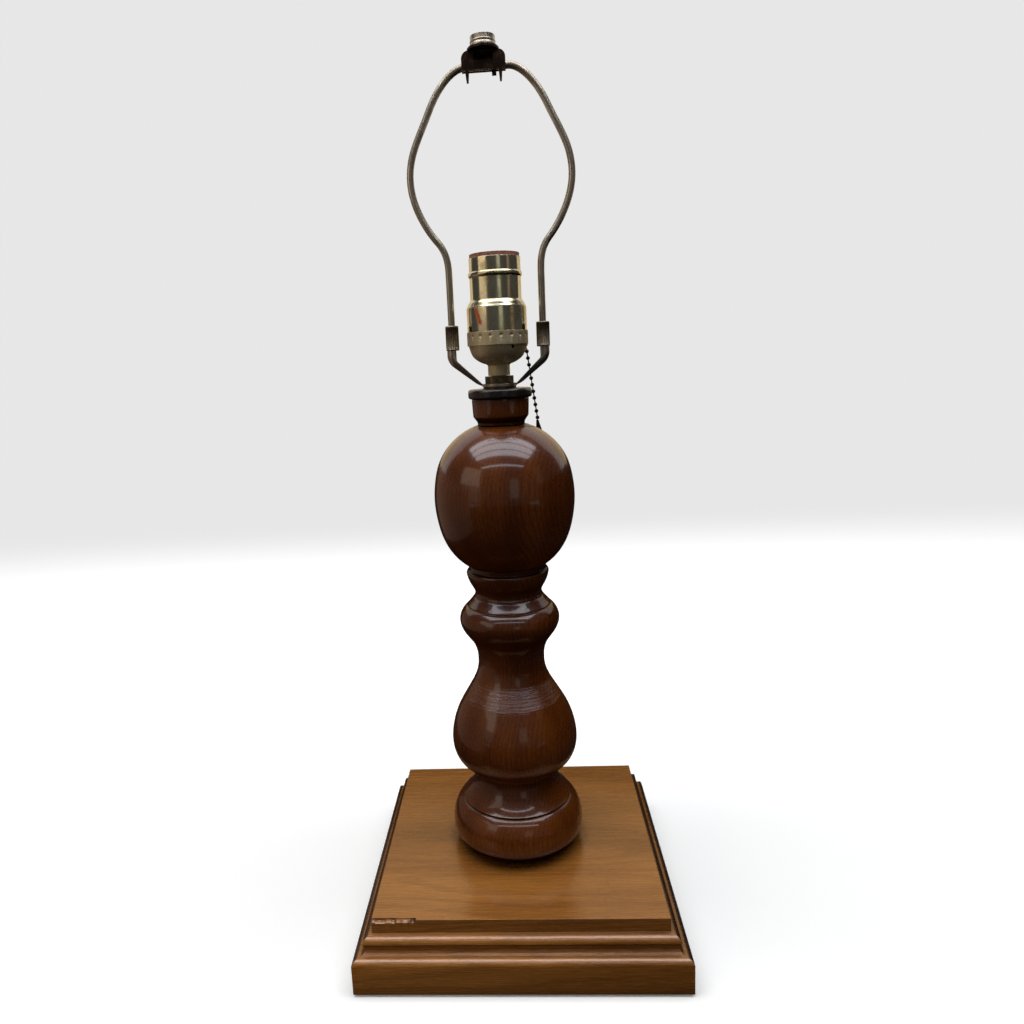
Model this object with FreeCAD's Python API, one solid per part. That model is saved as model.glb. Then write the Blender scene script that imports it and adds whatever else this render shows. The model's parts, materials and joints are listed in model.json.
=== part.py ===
import FreeCAD, Part
import math
import os

os.makedirs("parts", exist_ok=True)
Vector = FreeCAD.Vector

# General
full_turn = 360.0
half_turn = 180.0
quarter_turn = 90.0
overrun = 1.0
thread_fit = 0.05
running_fit = 0.05
loose_fit = 0.3
hair_gap = 0.1

# Plinth and felt
felt_thickness = 1.0
felt_inset = 4.0
plinth_half_width = 100.0
plinth_height = 41.5
square_edge_height = 19.5
moulding_width = 11.5
plinth_bottom_ease = 0.8
recess_radius = 32.0
recess_depth = 16.0

# Moulding strokes from the top edge down, as shares of its width and height
moulding_start_share = (0.0, 1.0)
moulding_shares = (
    ((0.0, 0.605),),
    ((0.11, 0.595),),
    ((0.385, 0.535), (0.47, 0.42)),
    ((0.43, 0.405),),
    ((0.36, 0.27), (0.55, 0.125)),
    ((0.63, 0.13),),
    ((0.87, 0.095), (1.0, 0.0)),
)

# Pipe and its fastenings
pipe_radius = 5.1
pipe_bore_radius = 3.4
pipe_hole_clearance = 0.4
pipe_bottom_stub = 3.0
base_washer_radius = 19.0
base_washer_thickness = 1.6
base_nut_flats = 17.5
base_nut_height = 5.0
nut_sides = 6
nut_corner_share = 0.94

# Cord hole
cord_hole_radius = 4.6
cord_hole_height = 9.0
cord_bore_radius = 3.3
bushing_length = 16.0
bushing_flange_radius = 7.5
bushing_flange_thickness = 1.8
bushing_bead_share = 0.6

# Turned foot, vase, neck and rings: heights above the plinth
foot_radius = 44.5
foot_height = 31.8
flare_radius = 36.6
flare_height = 20.0
vase_radius = 42.1
vase_height = 78.7
ring_radius = 32.85
ring_height = 45.0
collet_radius = 26.9
collet_height = 19.0

foot_start_share = (0.77, 0.0)
foot_shares = (
    ((0.775, 0.045),),
    ((0.825, 0.065),),
    ((0.912, 0.15), (0.977, 0.27), (1.0, 0.46), (0.975, 0.7), (0.915, 0.88), (0.845, 0.985)),
    ((0.822, 1.0),),
)
flare_shares = (
    ((0.985, 0.015), (1.0, 0.035), (0.992, 0.07)),
    ((0.94, 0.16), (0.87, 0.32), (0.805, 0.5), (0.755, 0.71), (0.73, 0.93)),
    ((0.73, 1.0),),
)
vase_shares = (
    ((0.668, 0.035),),
    ((0.76, 0.055), (0.855, 0.086), (0.954, 0.16), (1.0, 0.275), (0.98, 0.39), (0.89, 0.542),
     (0.731, 0.695), (0.573, 0.848), (0.524, 1.0)),
)
ring_shares = (
    ((0.69, 0.135), (0.76, 0.265), (0.893, 0.398), (0.985, 0.53), (1.0, 0.605), (0.985, 0.67),
     (0.935, 0.745), (0.865, 0.8)),
    ((0.828, 0.808),),
    ((0.833, 0.825),),
    ((0.775, 0.87), (0.7, 0.938)),
    ((0.683, 0.945),),
    ((0.683, 0.965),),
    ((0.668, 0.98), (0.664, 1.0)),
)
collet_shares = (
    ((0.835, 0.15), (0.9, 0.31), (0.955, 0.47), (0.99, 0.63), (1.0, 0.735)),
    ((0.985, 0.79),),
    ((0.93, 0.84),),
    ((0.945, 1.0),),
)

# Ball
ball_radius = 45.0
ball_height = 90.0
ball_start_share = (0.568, 0.0)
ball_shares = (
    ((0.64, 0.026), (0.76, 0.086), (0.907, 0.218), (0.976, 0.355), (1.0, 0.49), (0.977, 0.62),
     (0.902, 0.756), (0.765, 0.862), (0.545, 0.955), (0.35, 1.0)),
)

# Collar and disc on the ball
collar_radius = 18.0
collar_height = 16.7
collar_start_share = (0.828, 0.0)
collar_shares = (
    ((0.828, 0.105),),
    ((0.865, 0.175), (0.94, 0.285), (0.968, 0.33)),
    ((0.974, 0.36),),
    ((1.0, 1.0),),
)
disc_radius = 20.0
disc_height = 6.1
disc_start_share = (0.93, 0.0)
disc_shares = (
    ((0.98, 0.08), (1.0, 0.25)),
    ((1.0, 0.66),),
    ((0.985, 0.86), (0.93, 0.965)),
    ((0.75, 1.0),),
)

# Stack on the disc
neck_washer_radius = 10.3
neck_washer_thickness = 1.3
saddle_ring_radius = 11.0
saddle_ring_thickness = 1.6
locknut_flats = 15.9
locknut_height = 4.6

# Saddle channel: centre line sizes and section
post_offset = 28.15
channel_radius = 3.7
channel_wall = 0.9
channel_lip = 1.5
tongue_radius = 3.1
tongue_wall = 0.75
tongue_height = 11.4
arm_slope = 38.0
arm_corner_height = 17.4
shoulder_height = 22.9
outer_bend_radius = 6.0
inner_bend_radius = 10.0
runout_radius = 10.8
runout_slope = 44.0
runout_side_gap = 0.05
runout_bend_radius = 4.0

# Harp
wire_radius = 2.1
wire_end_height = 17.1
wire_straight_height = 65.9
harp_height = 184.4
harp_half_width = 48.4
harp_flat_half_length = 13.0
harp_bow_shares = (
    (0.594, 0.08), (0.622, 0.127), (0.69, 0.18), (0.849, 0.278), (0.961, 0.38), (1.0, 0.49),
    (0.977, 0.582), (0.895, 0.684), (0.779, 0.785), (0.643, 0.886), (0.553, 0.941),
    (0.43, 0.983),
)
sleeve_radius = 4.1
sleeve_length = 15.0
sleeve_collar_length = 3.0
sleeve_ease = 0.5

# Bracket, stud and knob at the top of the harp
bracket_shift = -1.4
bracket_half_length = 12.85
bracket_wall = 1.2
bracket_rise = 6.0
bracket_corner_radius = 4.5
window_half_length = 5.8
window_lift = 0.4
prong_offset = 9.8
prong_width = 2.2
prong_length = 5.5
tab_offset = 6.0
tab_width = 2.6
tab_length = 2.2
flange_radius = 9.4
flange_thickness = 1.3
stud_radius = 3.1
stud_height = 5.2
rivet_radius = 1.9
rivet_head_radius = 2.1
rivet_head_height = 1.0
knob_radius = 8.5
knob_height = 6.6
knob_bore_height = 5.6
knob_start_share = (0.96, 0.0)
knob_shares = (
    ((1.0, 0.05),),
    ((1.0, 0.14),),
    ((0.93, 0.21), (0.865, 0.33), (0.85, 0.43)),
    ((0.885, 0.47), (0.885, 0.55), (0.85, 0.59)),
    ((0.86, 0.8), (0.865, 0.96)),
    ((0.84, 1.0),),
)

# Socket cap
cap_gap = 0.3
cap_radius = 18.9
cap_wall = 0.6
cap_height = 26.8
cap_step_share = 0.695
cap_start_share = (0.362, 0.0)
cap_shares = (
    ((0.362, 0.235),),
    ((0.4, 0.262),),
    ((0.56, 0.304), (0.7, 0.362), (0.82, 0.442), (0.905, 0.562), (0.948, 0.672)),
    ((0.956, cap_step_share),),
    ((1.0, cap_step_share),),
    ((1.0, 1.0),),
)
set_screw_radius = 1.5
set_screw_length = 3.6
set_screw_height_share = 0.45

# Socket shell: heights above the seam with the cap
shell_radius = 18.4
shell_wall = 0.4
shell_height = 43.6
shell_neck_radius = 15.75
bead_radius = 2.2
bead_sink = 1.35
bead_height = 33.8
shell_shoulder_shares = ((0.0, 0.318), (0.22, 0.352), (0.62, 0.4), (0.94, 0.428), (1.0, 0.446))
liner_gap = 0.1
liner_wall = 1.0
liner_stand = 2.4

# Inside of the socket
flange_rest_thickness = 2.6
body_radius = 16.2
body_top = 13.3
barrel_radius = 12.6
barrel_height = 4.4
well_radius = 8.4
screw_shell_radius = 13.3
screw_shell_wall = 0.35
screw_shell_height = 23.4
screw_shell_hole_radius = 9.0
contact_width = 6.0
contact_thickness = 0.6
contact_reach = 6.5
contact_rise = 2.4
terminal_offset = 12.8
terminal_width = 8.0
terminal_height = 9.0
terminal_thickness = 0.8
terminal_screw_radius = 1.7
terminal_head_radius = 3.1
terminal_head_height = 1.9
terminal_screw_length = 4.0
terminal_lift = 6.5

# Pull chain and switch, set out along the chain's own azimuth
chain_azimuth = 40.0
chain_lean = 9.0
guide_height = 22.6
guide_radius = 2.35
guide_wall = 0.5
guide_inner_reach = 15.6
guide_mouth_reach = 20.4
guide_flare = 0.8
shell_notch_radius = 3.4
bead_ball_radius = 1.4
bead_pitch = 4.33
link_radius = 0.4
hang_reach = 22.0
hanging_beads = 12
guided_beads = 3
lead_end_reach = 5.9
chain_bell_radius = 1.9
chain_bell_length = 7.6
bell_start_share = (0.35, 0.0)
bell_shares = (((0.45, 0.06),), ((0.62, 0.35), (1.0, 0.8)), ((1.0, 1.0),))
lever_reach = 8.0
lever_pivot_rise = 9.0
lever_plate_thickness = 0.8
lever_half_width = 2.0
lever_slot_half_width = 0.9
lever_slot_rise = 2.0
lever_foot_drop = 1.9
lever_eye_wall = 0.75
lever_finger_length = 4.8
lever_pin_radius = 0.8
pin_half_length = 8.0
cavity_half_width = 4.0
cavity_inner_reach = 7.5
cavity_rise = 14.2
cavity_drop = 2.7
rotor_reach = -1.6
rotor_radius = 4.4
rotor_half_width = 3.4
rotor_notches = 4
rotor_notch_radius = 0.9
rotor_pin_radius = 0.9
spring_wire_radius = 0.2
spring_leg_share = 0.75
spring_length = 1.6
spring_radius = 1.9
spring_side_gap = 0.2

# Levels, each built on the one below
plinth_bottom = felt_thickness
plinth_top = plinth_bottom + plinth_height
flare_bottom = plinth_top + foot_height
vase_bottom = flare_bottom + flare_height
ring_bottom = vase_bottom + vase_height
collet_bottom = ring_bottom + ring_height
ball_bottom = collet_bottom + collet_height
ball_top = ball_bottom + ball_height
disc_bottom = ball_top + collar_height
disc_top = disc_bottom + disc_height
saddle_bottom = disc_top + neck_washer_thickness
saddle_top = saddle_bottom + saddle_ring_thickness
locknut_top = saddle_top + locknut_height
cap_bottom = locknut_top + cap_gap
cap_step = cap_bottom + cap_height * cap_step_share + cap_wall
seam_height = cap_bottom + cap_height
guide_level = cap_bottom + guide_height
flange_rest_top = cap_step + flange_rest_thickness
body_level = seam_height + body_top
barrel_top = body_level + barrel_height
shoulder_level = saddle_bottom + shoulder_height
wire_bottom = saddle_bottom + wire_end_height
wire_bow_bottom = saddle_bottom + wire_straight_height
wire_top = saddle_bottom + harp_height
bracket_bottom = wire_top - wire_radius
bracket_top = wire_top + wire_radius + bracket_rise
flange_top = bracket_top + flange_thickness
pipe_hole_radius = pipe_radius + pipe_hole_clearance


def save(shape, name):
    clean = shape.removeSplitter()
    clean.exportStep("parts/" + name + ".step")


def polygon(points):
    return Part.Face(Part.makePolygon([*points, points[0]]))


def stroke_edges(strokes, start, place):
    """Edges from start through the strokes: one point is a line, more are one smooth curve."""
    edges = []
    here = place(start)
    for stroke in strokes:
        points = [here] + [place(point) for point in stroke]
        if len(points) == 2:
            edges.append(Part.LineSegment(*points).toShape())
        else:
            curve = Part.BSplineCurve()
            curve.interpolate(points)
            edges.append(curve.toShape())
        here = points[-1]
    return edges, here


def at(radius, height):
    return Vector(radius, 0, height)


def spin(edges, first, last, inner_radius):
    """Solid of revolution between the outline and a bore of the inner radius."""
    corners = [last, at(inner_radius, last.z), at(inner_radius, first.z), first]
    lines = [Part.LineSegment(a, b).toShape() for a, b in zip(corners, corners[1:])]
    face = Part.Face(Part.Wire(edges + lines))
    return face.revolve(Vector(0, 0, 0), Vector(0, 0, 1), full_turn)


def turned(members, start, bore_radius):
    """One turning from stacked members, each (strokes, radius, bottom, height)."""
    edges = []
    first = None
    here = start
    for strokes, radius, bottom, height in members:
        def place(share):
            return at(share[0] * radius, bottom + share[1] * height)
        if first is None:
            first = place(start)
            more, here = stroke_edges(strokes, start, place)
        else:
            back = (here.x / radius, (here.z - bottom) / height)
            more, here = stroke_edges(strokes, back, place)
        edges += more
    return spin(edges, first, here, bore_radius)


def tube(outer_radius, inner_radius, bottom, height):
    outer = Part.makeCylinder(outer_radius, height, Vector(0, 0, bottom))
    inner = Part.makeCylinder(inner_radius, height + 2 * overrun, Vector(0, 0, bottom - overrun))
    return outer.cut(inner)


def hex_nut(flats, bottom, height, bore_radius):
    """Hexagon nut whose corners are rounded off by a cylinder."""
    reach = flats / math.sqrt(3)
    turns = [math.radians(full_turn / nut_sides * n) for n in range(nut_sides)]
    corners = [Vector(reach * math.cos(a), reach * math.sin(a), bottom) for a in turns]
    prism = polygon(corners).extrude(Vector(0, 0, height))
    rounding = Part.makeCylinder(reach * (1 + nut_corner_share) / 2, height, Vector(0, 0, bottom))
    return prism.common(rounding).cut(tube_core(bore_radius, bottom, height))


def tube_core(radius, bottom, height):
    return Part.makeCylinder(radius, height + 2 * overrun, Vector(0, 0, bottom - overrun))


def box(low, high):
    size = high.sub(low)
    return Part.makeBox(size.x, size.y, size.z, low)


def turn_to_chain(shape):
    shape.rotate(Vector(0, 0, 0), Vector(0, 0, 1), chain_azimuth)
    return shape


def cross_rod(radius, reach, height, half_length):
    """Rod across the chain's azimuth."""
    return Part.makeCylinder(radius, 2 * half_length, Vector(reach, -half_length, height), Vector(0, 1, 0))


# Felt and plinth
felt_half = plinth_half_width - felt_inset
felt = box(Vector(-felt_half, -felt_half, 0), Vector(felt_half, felt_half, felt_thickness))
save(felt, "base_felt")

moulding_inner = plinth_half_width - moulding_width
moulding_rise = plinth_height - square_edge_height


def moulding_point(share):
    across = moulding_inner + share[0] * moulding_width
    return at(across, plinth_bottom + square_edge_height + share[1] * moulding_rise)


moulding_edges, moulding_end = stroke_edges(moulding_shares, moulding_start_share, moulding_point)
ease_out = at(plinth_half_width, plinth_bottom + plinth_bottom_ease)
ease_in = at(plinth_half_width - plinth_bottom_ease, plinth_bottom)
half_outline = moulding_edges + [
    Part.LineSegment(moulding_end, ease_out).toShape(),
    Part.LineSegment(ease_out, ease_in).toShape(),
]
mirrored = [edge.mirror(Vector(0, 0, 0), Vector(1, 0, 0)) for edge in reversed(half_outline)]
left_top = at(-moulding_inner, plinth_top)
left_bottom = at(plinth_bottom_ease - plinth_half_width, plinth_bottom)
closing = [
    Part.LineSegment(ease_in, left_bottom).toShape(),
    Part.LineSegment(left_top, moulding_point(moulding_start_share)).toShape(),
]
outline = Part.Wire(Part.__sortEdges__(half_outline + mirrored + closing))
bar_half_length = plinth_half_width + overrun
bar = Part.Face(outline).extrude(Vector(0, 2 * bar_half_length, 0))
bar.translate(Vector(0, -bar_half_length, 0))
mitre = polygon([
    Vector(0, 0, 0),
    Vector(bar_half_length, -bar_half_length, 0),
    Vector(bar_half_length, bar_half_length, 0),
]).extrude(Vector(0, 0, plinth_top + overrun))
quarters = []
for n in range(4):
    quarter = bar.common(mitre)
    quarter.rotate(Vector(0, 0, 0), Vector(0, 0, 1), n * quarter_turn)
    quarters.append(quarter)
plinth = quarters[0].fuse(quarters[1:]).removeSplitter()
recess_ceiling = plinth_bottom + recess_depth
recess = Part.makeCylinder(recess_radius, recess_depth + overrun, Vector(0, 0, plinth_bottom - overrun))
cord_level = plinth_bottom + cord_hole_height
cord_hole = Part.makeCylinder(
    cord_hole_radius, plinth_half_width + overrun, Vector(0, 0, cord_level), Vector(0, 1, 0))
plinth = plinth.cut(tube_core(pipe_hole_radius, plinth_bottom, plinth_height)).cut(recess).cut(cord_hole)
save(plinth, "base_plinth")

# Cord bushing, pushed in from the back
bushing_start = plinth_half_width - bushing_length
bushing = Part.makeCylinder(
    cord_hole_radius - thread_fit, bushing_length, Vector(0, bushing_start, cord_level), Vector(0, 1, 0))
bushing_flange = Part.makeCylinder(
    bushing_flange_radius, bushing_flange_thickness, Vector(0, plinth_half_width, cord_level),
    Vector(0, 1, 0))
bushing_rim = [e for e in bushing_flange.Edges if e.BoundBox.YMin > plinth_half_width]
bushing_flange = bushing_flange.makeFillet(
    bushing_flange_thickness * bushing_bead_share, bushing_rim[:1])
bushing_bore = Part.makeCylinder(
    cord_bore_radius, bushing_length + bushing_flange_thickness + 2 * overrun,
    Vector(0, bushing_start - overrun, cord_level), Vector(0, 1, 0))
save(bushing.fuse(bushing_flange).cut(bushing_bore), "cord_bushing")

# Pipe, washer and nut in the recess
washer_bottom = recess_ceiling - base_washer_thickness
nut_bottom = washer_bottom - base_nut_height
pipe_bottom = nut_bottom - pipe_bottom_stub
pipe_top = cap_bottom + cap_height * cap_shares[0][0][1]
save(tube(base_washer_radius, pipe_radius + loose_fit, washer_bottom, base_washer_thickness), "base_washer")
save(hex_nut(base_nut_flats, nut_bottom, base_nut_height, pipe_radius + thread_fit), "base_nut")
save(tube(pipe_radius, pipe_bore_radius, pipe_bottom, pipe_top - pipe_bottom), "threaded_pipe")

# The column
baluster_members = (
    (foot_shares, foot_radius, plinth_top, foot_height),
    (flare_shares, flare_radius, flare_bottom, flare_height),
    (vase_shares, vase_radius, vase_bottom, vase_height),
    (ring_shares, ring_radius, ring_bottom, ring_height),
    (collet_shares, collet_radius, collet_bottom, collet_height),
)
save(turned(baluster_members, foot_start_share, pipe_hole_radius), "turned_baluster")
ball_member = (ball_shares, ball_radius, ball_bottom, ball_height)
ball = turned((ball_member,), ball_start_share, pipe_hole_radius)
save(ball, "ball_turning")
collar_member = (collar_shares, collar_radius, ball_top, collar_height)
save(turned((collar_member,), collar_start_share, pipe_hole_radius), "neck_collar")
disc_member = (disc_shares, disc_radius, disc_bottom, disc_height)
save(turned((disc_member,), disc_start_share, pipe_hole_radius), "cap_disc")

# Washer and locknut
save(tube(neck_washer_radius, pipe_radius + loose_fit, disc_top, neck_washer_thickness), "saddle_washer")
save(hex_nut(locknut_flats, saddle_top, locknut_height, pipe_radius + thread_fit), "saddle_locknut")


def channel_section(radius, wall, lip, height):
    """Horizontal section of the channel on its centre line, open towards -X."""
    inner = radius - wall
    outer_angle = math.acos(lip / radius)
    inner_angle = math.acos(lip / inner)

    def rim(reach, angle):
        return Vector(post_offset - reach * math.cos(angle), reach * math.sin(angle), height)

    back_outer = Vector(post_offset + radius, 0, height)
    back_inner = Vector(post_offset + inner, 0, height)
    edges = [
        Part.Arc(rim(radius, outer_angle), back_outer, rim(radius, -outer_angle)).toShape(),
        Part.LineSegment(rim(radius, -outer_angle), rim(inner, -inner_angle)).toShape(),
        Part.Arc(rim(inner, -inner_angle), back_inner, rim(inner, inner_angle)).toShape(),
        Part.LineSegment(rim(inner, inner_angle), rim(radius, outer_angle)).toShape(),
    ]
    return Part.Wire(edges)


def bend(corner, before, after, radius):
    """Arc tangent to two unit directions that meet at the corner."""
    turn = before.getAngle(after)
    run = radius * math.tan(turn / 2)
    start = corner - before * run
    end = corner + after * run
    inward = (after - before).normalize()
    centre = corner + inward * (radius / math.cos(turn / 2))
    middle = centre - inward * radius
    return start, middle, end


# Saddle: a pressed channel on each side runs out into the clamped ring
slope = math.radians(arm_slope)
down = Vector(0, 0, -1)
along_arm = Vector(-math.cos(slope), 0, -math.sin(slope))
inward_level = Vector(-1, 0, 0)
outer_corner = at(post_offset, saddle_bottom + arm_corner_height)
channel_axis_level = saddle_bottom + channel_radius
arm_run = (outer_corner.z - channel_axis_level) / math.tan(slope)
inner_corner = at(post_offset - arm_run, channel_axis_level)
outer_bend = bend(outer_corner, down, along_arm, outer_bend_radius)
inner_bend = bend(inner_corner, along_arm, inward_level, inner_bend_radius)
arm_path = Part.Wire([
    Part.LineSegment(at(post_offset, shoulder_level), outer_bend[0]).toShape(),
    Part.Arc(*outer_bend).toShape(),
    Part.LineSegment(outer_bend[2], inner_bend[0]).toShape(),
    Part.Arc(*inner_bend).toShape(),
    Part.LineSegment(inner_bend[2], at(pipe_radius, channel_axis_level)).toShape(),
])
arm = arm_path.makePipeShell(
    [channel_section(channel_radius, channel_wall, channel_lip, shoulder_level)], True, False)
tongue_root = shoulder_level - channel_wall
tongue = Part.Face(channel_section(tongue_radius, tongue_wall, channel_lip, tongue_root))
tongue = tongue.extrude(Vector(0, 0, tongue_height + channel_wall))
runout_slant = math.radians(runout_slope)
runout_way = Vector(math.cos(runout_slant), 0, math.sin(runout_slant))
runout_side = post_offset - channel_lip - runout_side_gap
runout_corner = at(runout_side, saddle_top + (runout_side - runout_radius) * math.tan(runout_slant))
runout_bend = bend(runout_corner, runout_way, Vector(0, 0, 1), runout_bend_radius)
runout_top = shoulder_level + overrun
runout = Part.Face(Part.Wire([
    Part.LineSegment(at(-overrun, saddle_top), at(runout_radius, saddle_top)).toShape(),
    Part.LineSegment(at(runout_radius, saddle_top), runout_bend[0]).toShape(),
    Part.Arc(*runout_bend).toShape(),
    Part.LineSegment(runout_bend[2], at(runout_side, runout_top)).toShape(),
    Part.LineSegment(at(runout_side, runout_top), at(-overrun, runout_top)).toShape(),
    Part.LineSegment(at(-overrun, runout_top), at(-overrun, saddle_top)).toShape(),
]))
runout = runout.extrude(Vector(0, 4 * channel_radius, 0))
runout.translate(Vector(0, -2 * channel_radius, 0))
right_arm = arm.cut(runout).fuse(tongue)
left_arm = right_arm.copy()
left_arm.rotate(Vector(0, 0, 0), Vector(0, 0, 1), half_turn)
saddle_ring = Part.makeCylinder(saddle_ring_radius, saddle_ring_thickness, Vector(0, 0, saddle_bottom))
saddle = saddle_ring.fuse([right_arm, left_arm])
saddle = saddle.cut(tube_core(pipe_radius + loose_fit, saddle_bottom, saddle_ring_thickness + channel_radius))
save(saddle, "harp_saddle")

# Harp wire: straight legs, a bowed side swept as one curve, and a flat top
bow_rise = wire_top - wire_bow_bottom
leg_foot = at(post_offset, wire_bottom)
leg_top = at(post_offset, wire_bow_bottom)
flat_end = at(harp_flat_half_length, wire_top)
bow_points = [leg_top]
bow_points += [at(s[0] * harp_half_width, wire_bow_bottom + s[1] * bow_rise) for s in harp_bow_shares]
bow_points.append(flat_end)
bow = Part.BSplineCurve()
bow.interpolate(Points=bow_points, InitialTangent=Vector(0, 0, 1), FinalTangent=Vector(-1, 0, 0))
harp_path = Part.Wire([
    Part.LineSegment(leg_foot, leg_top).toShape(),
    bow.toShape(),
    Part.LineSegment(flat_end, at(0, wire_top)).toShape(),
])
wire_circle = Part.Wire(Part.makeCircle(wire_radius, leg_foot, Vector(0, 0, 1)))
harp_half = harp_path.makePipeShell([wire_circle], True, False)
harp_mirror = harp_half.mirror(Vector(0, 0, 0), Vector(1, 0, 0))
harp = harp_half.fuse(harp_mirror).removeSplitter()
save(harp, "harp_wire")

# Sleeves over the posts
sleeve_bottom = shoulder_level + hair_gap
sleeve_inner = tongue_radius + loose_fit
sleeve_blank = Part.makeCylinder(sleeve_radius, sleeve_length, Vector(post_offset, 0, sleeve_bottom))
sleeve_rims = [e for e in sleeve_blank.Edges if e.BoundBox.ZLength < hair_gap]
sleeve_blank = sleeve_blank.makeFillet(sleeve_ease, sleeve_rims)
sleeve_hollow = Part.makeCylinder(
    sleeve_inner, sleeve_length - sleeve_collar_length + overrun,
    Vector(post_offset, 0, sleeve_bottom - overrun))
sleeve_eye = Part.makeCylinder(
    wire_radius + running_fit, sleeve_length + 2 * overrun,
    Vector(post_offset, 0, sleeve_bottom - overrun))
sleeve = sleeve_blank.cut(sleeve_hollow).cut(sleeve_eye)
save(sleeve, "harp_sleeve_right")
left_sleeve = sleeve.copy()
left_sleeve.translate(Vector(-2 * post_offset, 0, 0))
save(left_sleeve, "harp_sleeve_left")

# Bracket folded over the wire, with a window in front and prongs below
bracket_outer = wire_radius + running_fit + bracket_wall


def bracket_x(offset):
    return bracket_shift + offset


corner_share = 1 - math.sqrt(0.5)
corner_cut = bracket_corner_radius * corner_share
left_side = bracket_x(-bracket_half_length)
right_side = bracket_x(bracket_half_length)
shoulder_line = bracket_top - bracket_corner_radius
bracket_edges = [
    Part.LineSegment(at(left_side, bracket_bottom), at(left_side, shoulder_line)).toShape(),
    Part.Arc(
        at(left_side, shoulder_line), at(left_side + corner_cut, bracket_top - corner_cut),
        at(left_side + bracket_corner_radius, bracket_top)).toShape(),
    Part.LineSegment(
        at(left_side + bracket_corner_radius, bracket_top),
        at(right_side - bracket_corner_radius, bracket_top)).toShape(),
    Part.Arc(
        at(right_side - bracket_corner_radius, bracket_top),
        at(right_side - corner_cut, bracket_top - corner_cut),
        at(right_side, shoulder_line)).toShape(),
    Part.LineSegment(at(right_side, shoulder_line), at(right_side, bracket_bottom)).toShape(),
    Part.LineSegment(at(right_side, bracket_bottom), at(left_side, bracket_bottom)).toShape(),
]
bracket = Part.Face(Part.Wire(bracket_edges)).extrude(Vector(0, 2 * bracket_outer, 0))
bracket.translate(Vector(0, -bracket_outer, 0))
for side in (-1, 1):
    prong_middle = bracket_x(side * prong_offset)
    prong_half = prong_width / 2
    prong = polygon([
        at(prong_middle - prong_half, bracket_bottom + overrun),
        at(prong_middle + prong_half, bracket_bottom + overrun),
        at(prong_middle + prong_half / 2, bracket_bottom - prong_length),
        at(prong_middle - prong_half / 2, bracket_bottom - prong_length),
    ]).extrude(Vector(0, 2 * bracket_outer, 0))
    prong.translate(Vector(0, -bracket_outer, 0))
    bracket = bracket.fuse(prong)
tab_middle = bracket_x(tab_offset)
bracket = bracket.fuse(box(
    Vector(tab_middle - tab_width / 2, 0, bracket_bottom - tab_length),
    Vector(tab_middle + tab_width / 2, bracket_outer, bracket_bottom + overrun)))
fold_hollow = box(
    Vector(left_side - overrun, -wire_radius - running_fit, bracket_bottom - prong_length - overrun),
    Vector(right_side + overrun, wire_radius + running_fit, bracket_top - bracket_wall))
window = box(
    Vector(bracket_x(-window_half_length), -bracket_outer - overrun, wire_top + wire_radius + window_lift),
    Vector(bracket_x(window_half_length), 0, bracket_top - bracket_wall))
rivet_hole = Part.makeCylinder(
    rivet_radius + thread_fit, bracket_rise, Vector(bracket_shift, 0, bracket_top - bracket_rise / 2))
bracket = bracket.cut(fold_hollow).cut(window).cut(rivet_hole)
save(bracket, "harp_bracket")

# Stud with its flange, riveted under the fold
rivet_under = bracket_top - bracket_wall
stud_flange = Part.makeCylinder(flange_radius, flange_thickness, Vector(bracket_shift, 0, bracket_top))
stud_shaft = Part.makeCylinder(stud_radius, stud_height, Vector(bracket_shift, 0, flange_top))
rivet = Part.makeCylinder(
    rivet_radius, bracket_wall + rivet_head_height, Vector(bracket_shift, 0, rivet_under - rivet_head_height))
rivet_head = Part.makeCylinder(
    rivet_head_radius, rivet_head_height, Vector(bracket_shift, 0, rivet_under - rivet_head_height))
save(stud_flange.fuse([stud_shaft, rivet, rivet_head]), "harp_stud")

# Finial knob on the stud
knob_bottom = flange_top + hair_gap
knob_member = (knob_shares, knob_radius, knob_bottom, knob_height)
knob = turned((knob_member,), knob_start_share, 0)
knob_bore = Part.makeCylinder(
    stud_radius + running_fit, knob_bore_height + overrun, Vector(0, 0, knob_bottom - overrun))
knob = knob.cut(knob_bore)
knob.translate(Vector(bracket_shift, 0, 0))
save(knob, "finial_knob")


# Socket cap: the outline outside, and the same outline drawn in by the wall inside
cap_member = (cap_shares, cap_radius, cap_bottom, cap_height)
cap_solid = turned((cap_member,), cap_start_share, pipe_radius + thread_fit)
cap_inner_radius = cap_radius - cap_wall
cap_inside_shares = cap_shares[2:]


def cap_inside_point(share):
    lift = cap_wall if share[1] < 1 else overrun
    return at(share[0] * cap_radius - cap_wall, cap_bottom + share[1] * cap_height + lift)


inside_start = cap_shares[1][0]
inside_edges, inside_end = stroke_edges(cap_inside_shares, inside_start, cap_inside_point)
cap_inside = spin(inside_edges, cap_inside_point(inside_start), inside_end, 0)
cap = cap_solid.cut(cap_inside)
guide_hole = Part.makeCylinder(
    guide_radius + thread_fit, cap_radius, Vector(0, 0, guide_level), Vector(1, 0, 0))
cap = cap.cut(turn_to_chain(guide_hole))
set_screw_level = cap_bottom + cap_height * cap_shares[0][0][1] * set_screw_height_share
set_screw_hole = Part.makeCylinder(
    set_screw_radius + thread_fit, cap_radius, Vector(0, 0, set_screw_level), Vector(0, 1, 0))
cap = cap.cut(set_screw_hole)
save(cap, "socket_cap")
set_screw = Part.makeCylinder(
    set_screw_radius, set_screw_length, Vector(0, pipe_radius, set_screw_level), Vector(0, 1, 0))
set_screw = set_screw.cut(box(
    Vector(-cap_wall / 2, pipe_radius + set_screw_length - cap_wall, set_screw_level - cap_radius),
    Vector(cap_wall / 2, pipe_radius + set_screw_length + overrun, set_screw_level + cap_radius)))
save(set_screw, "cap_set_screw")


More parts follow.
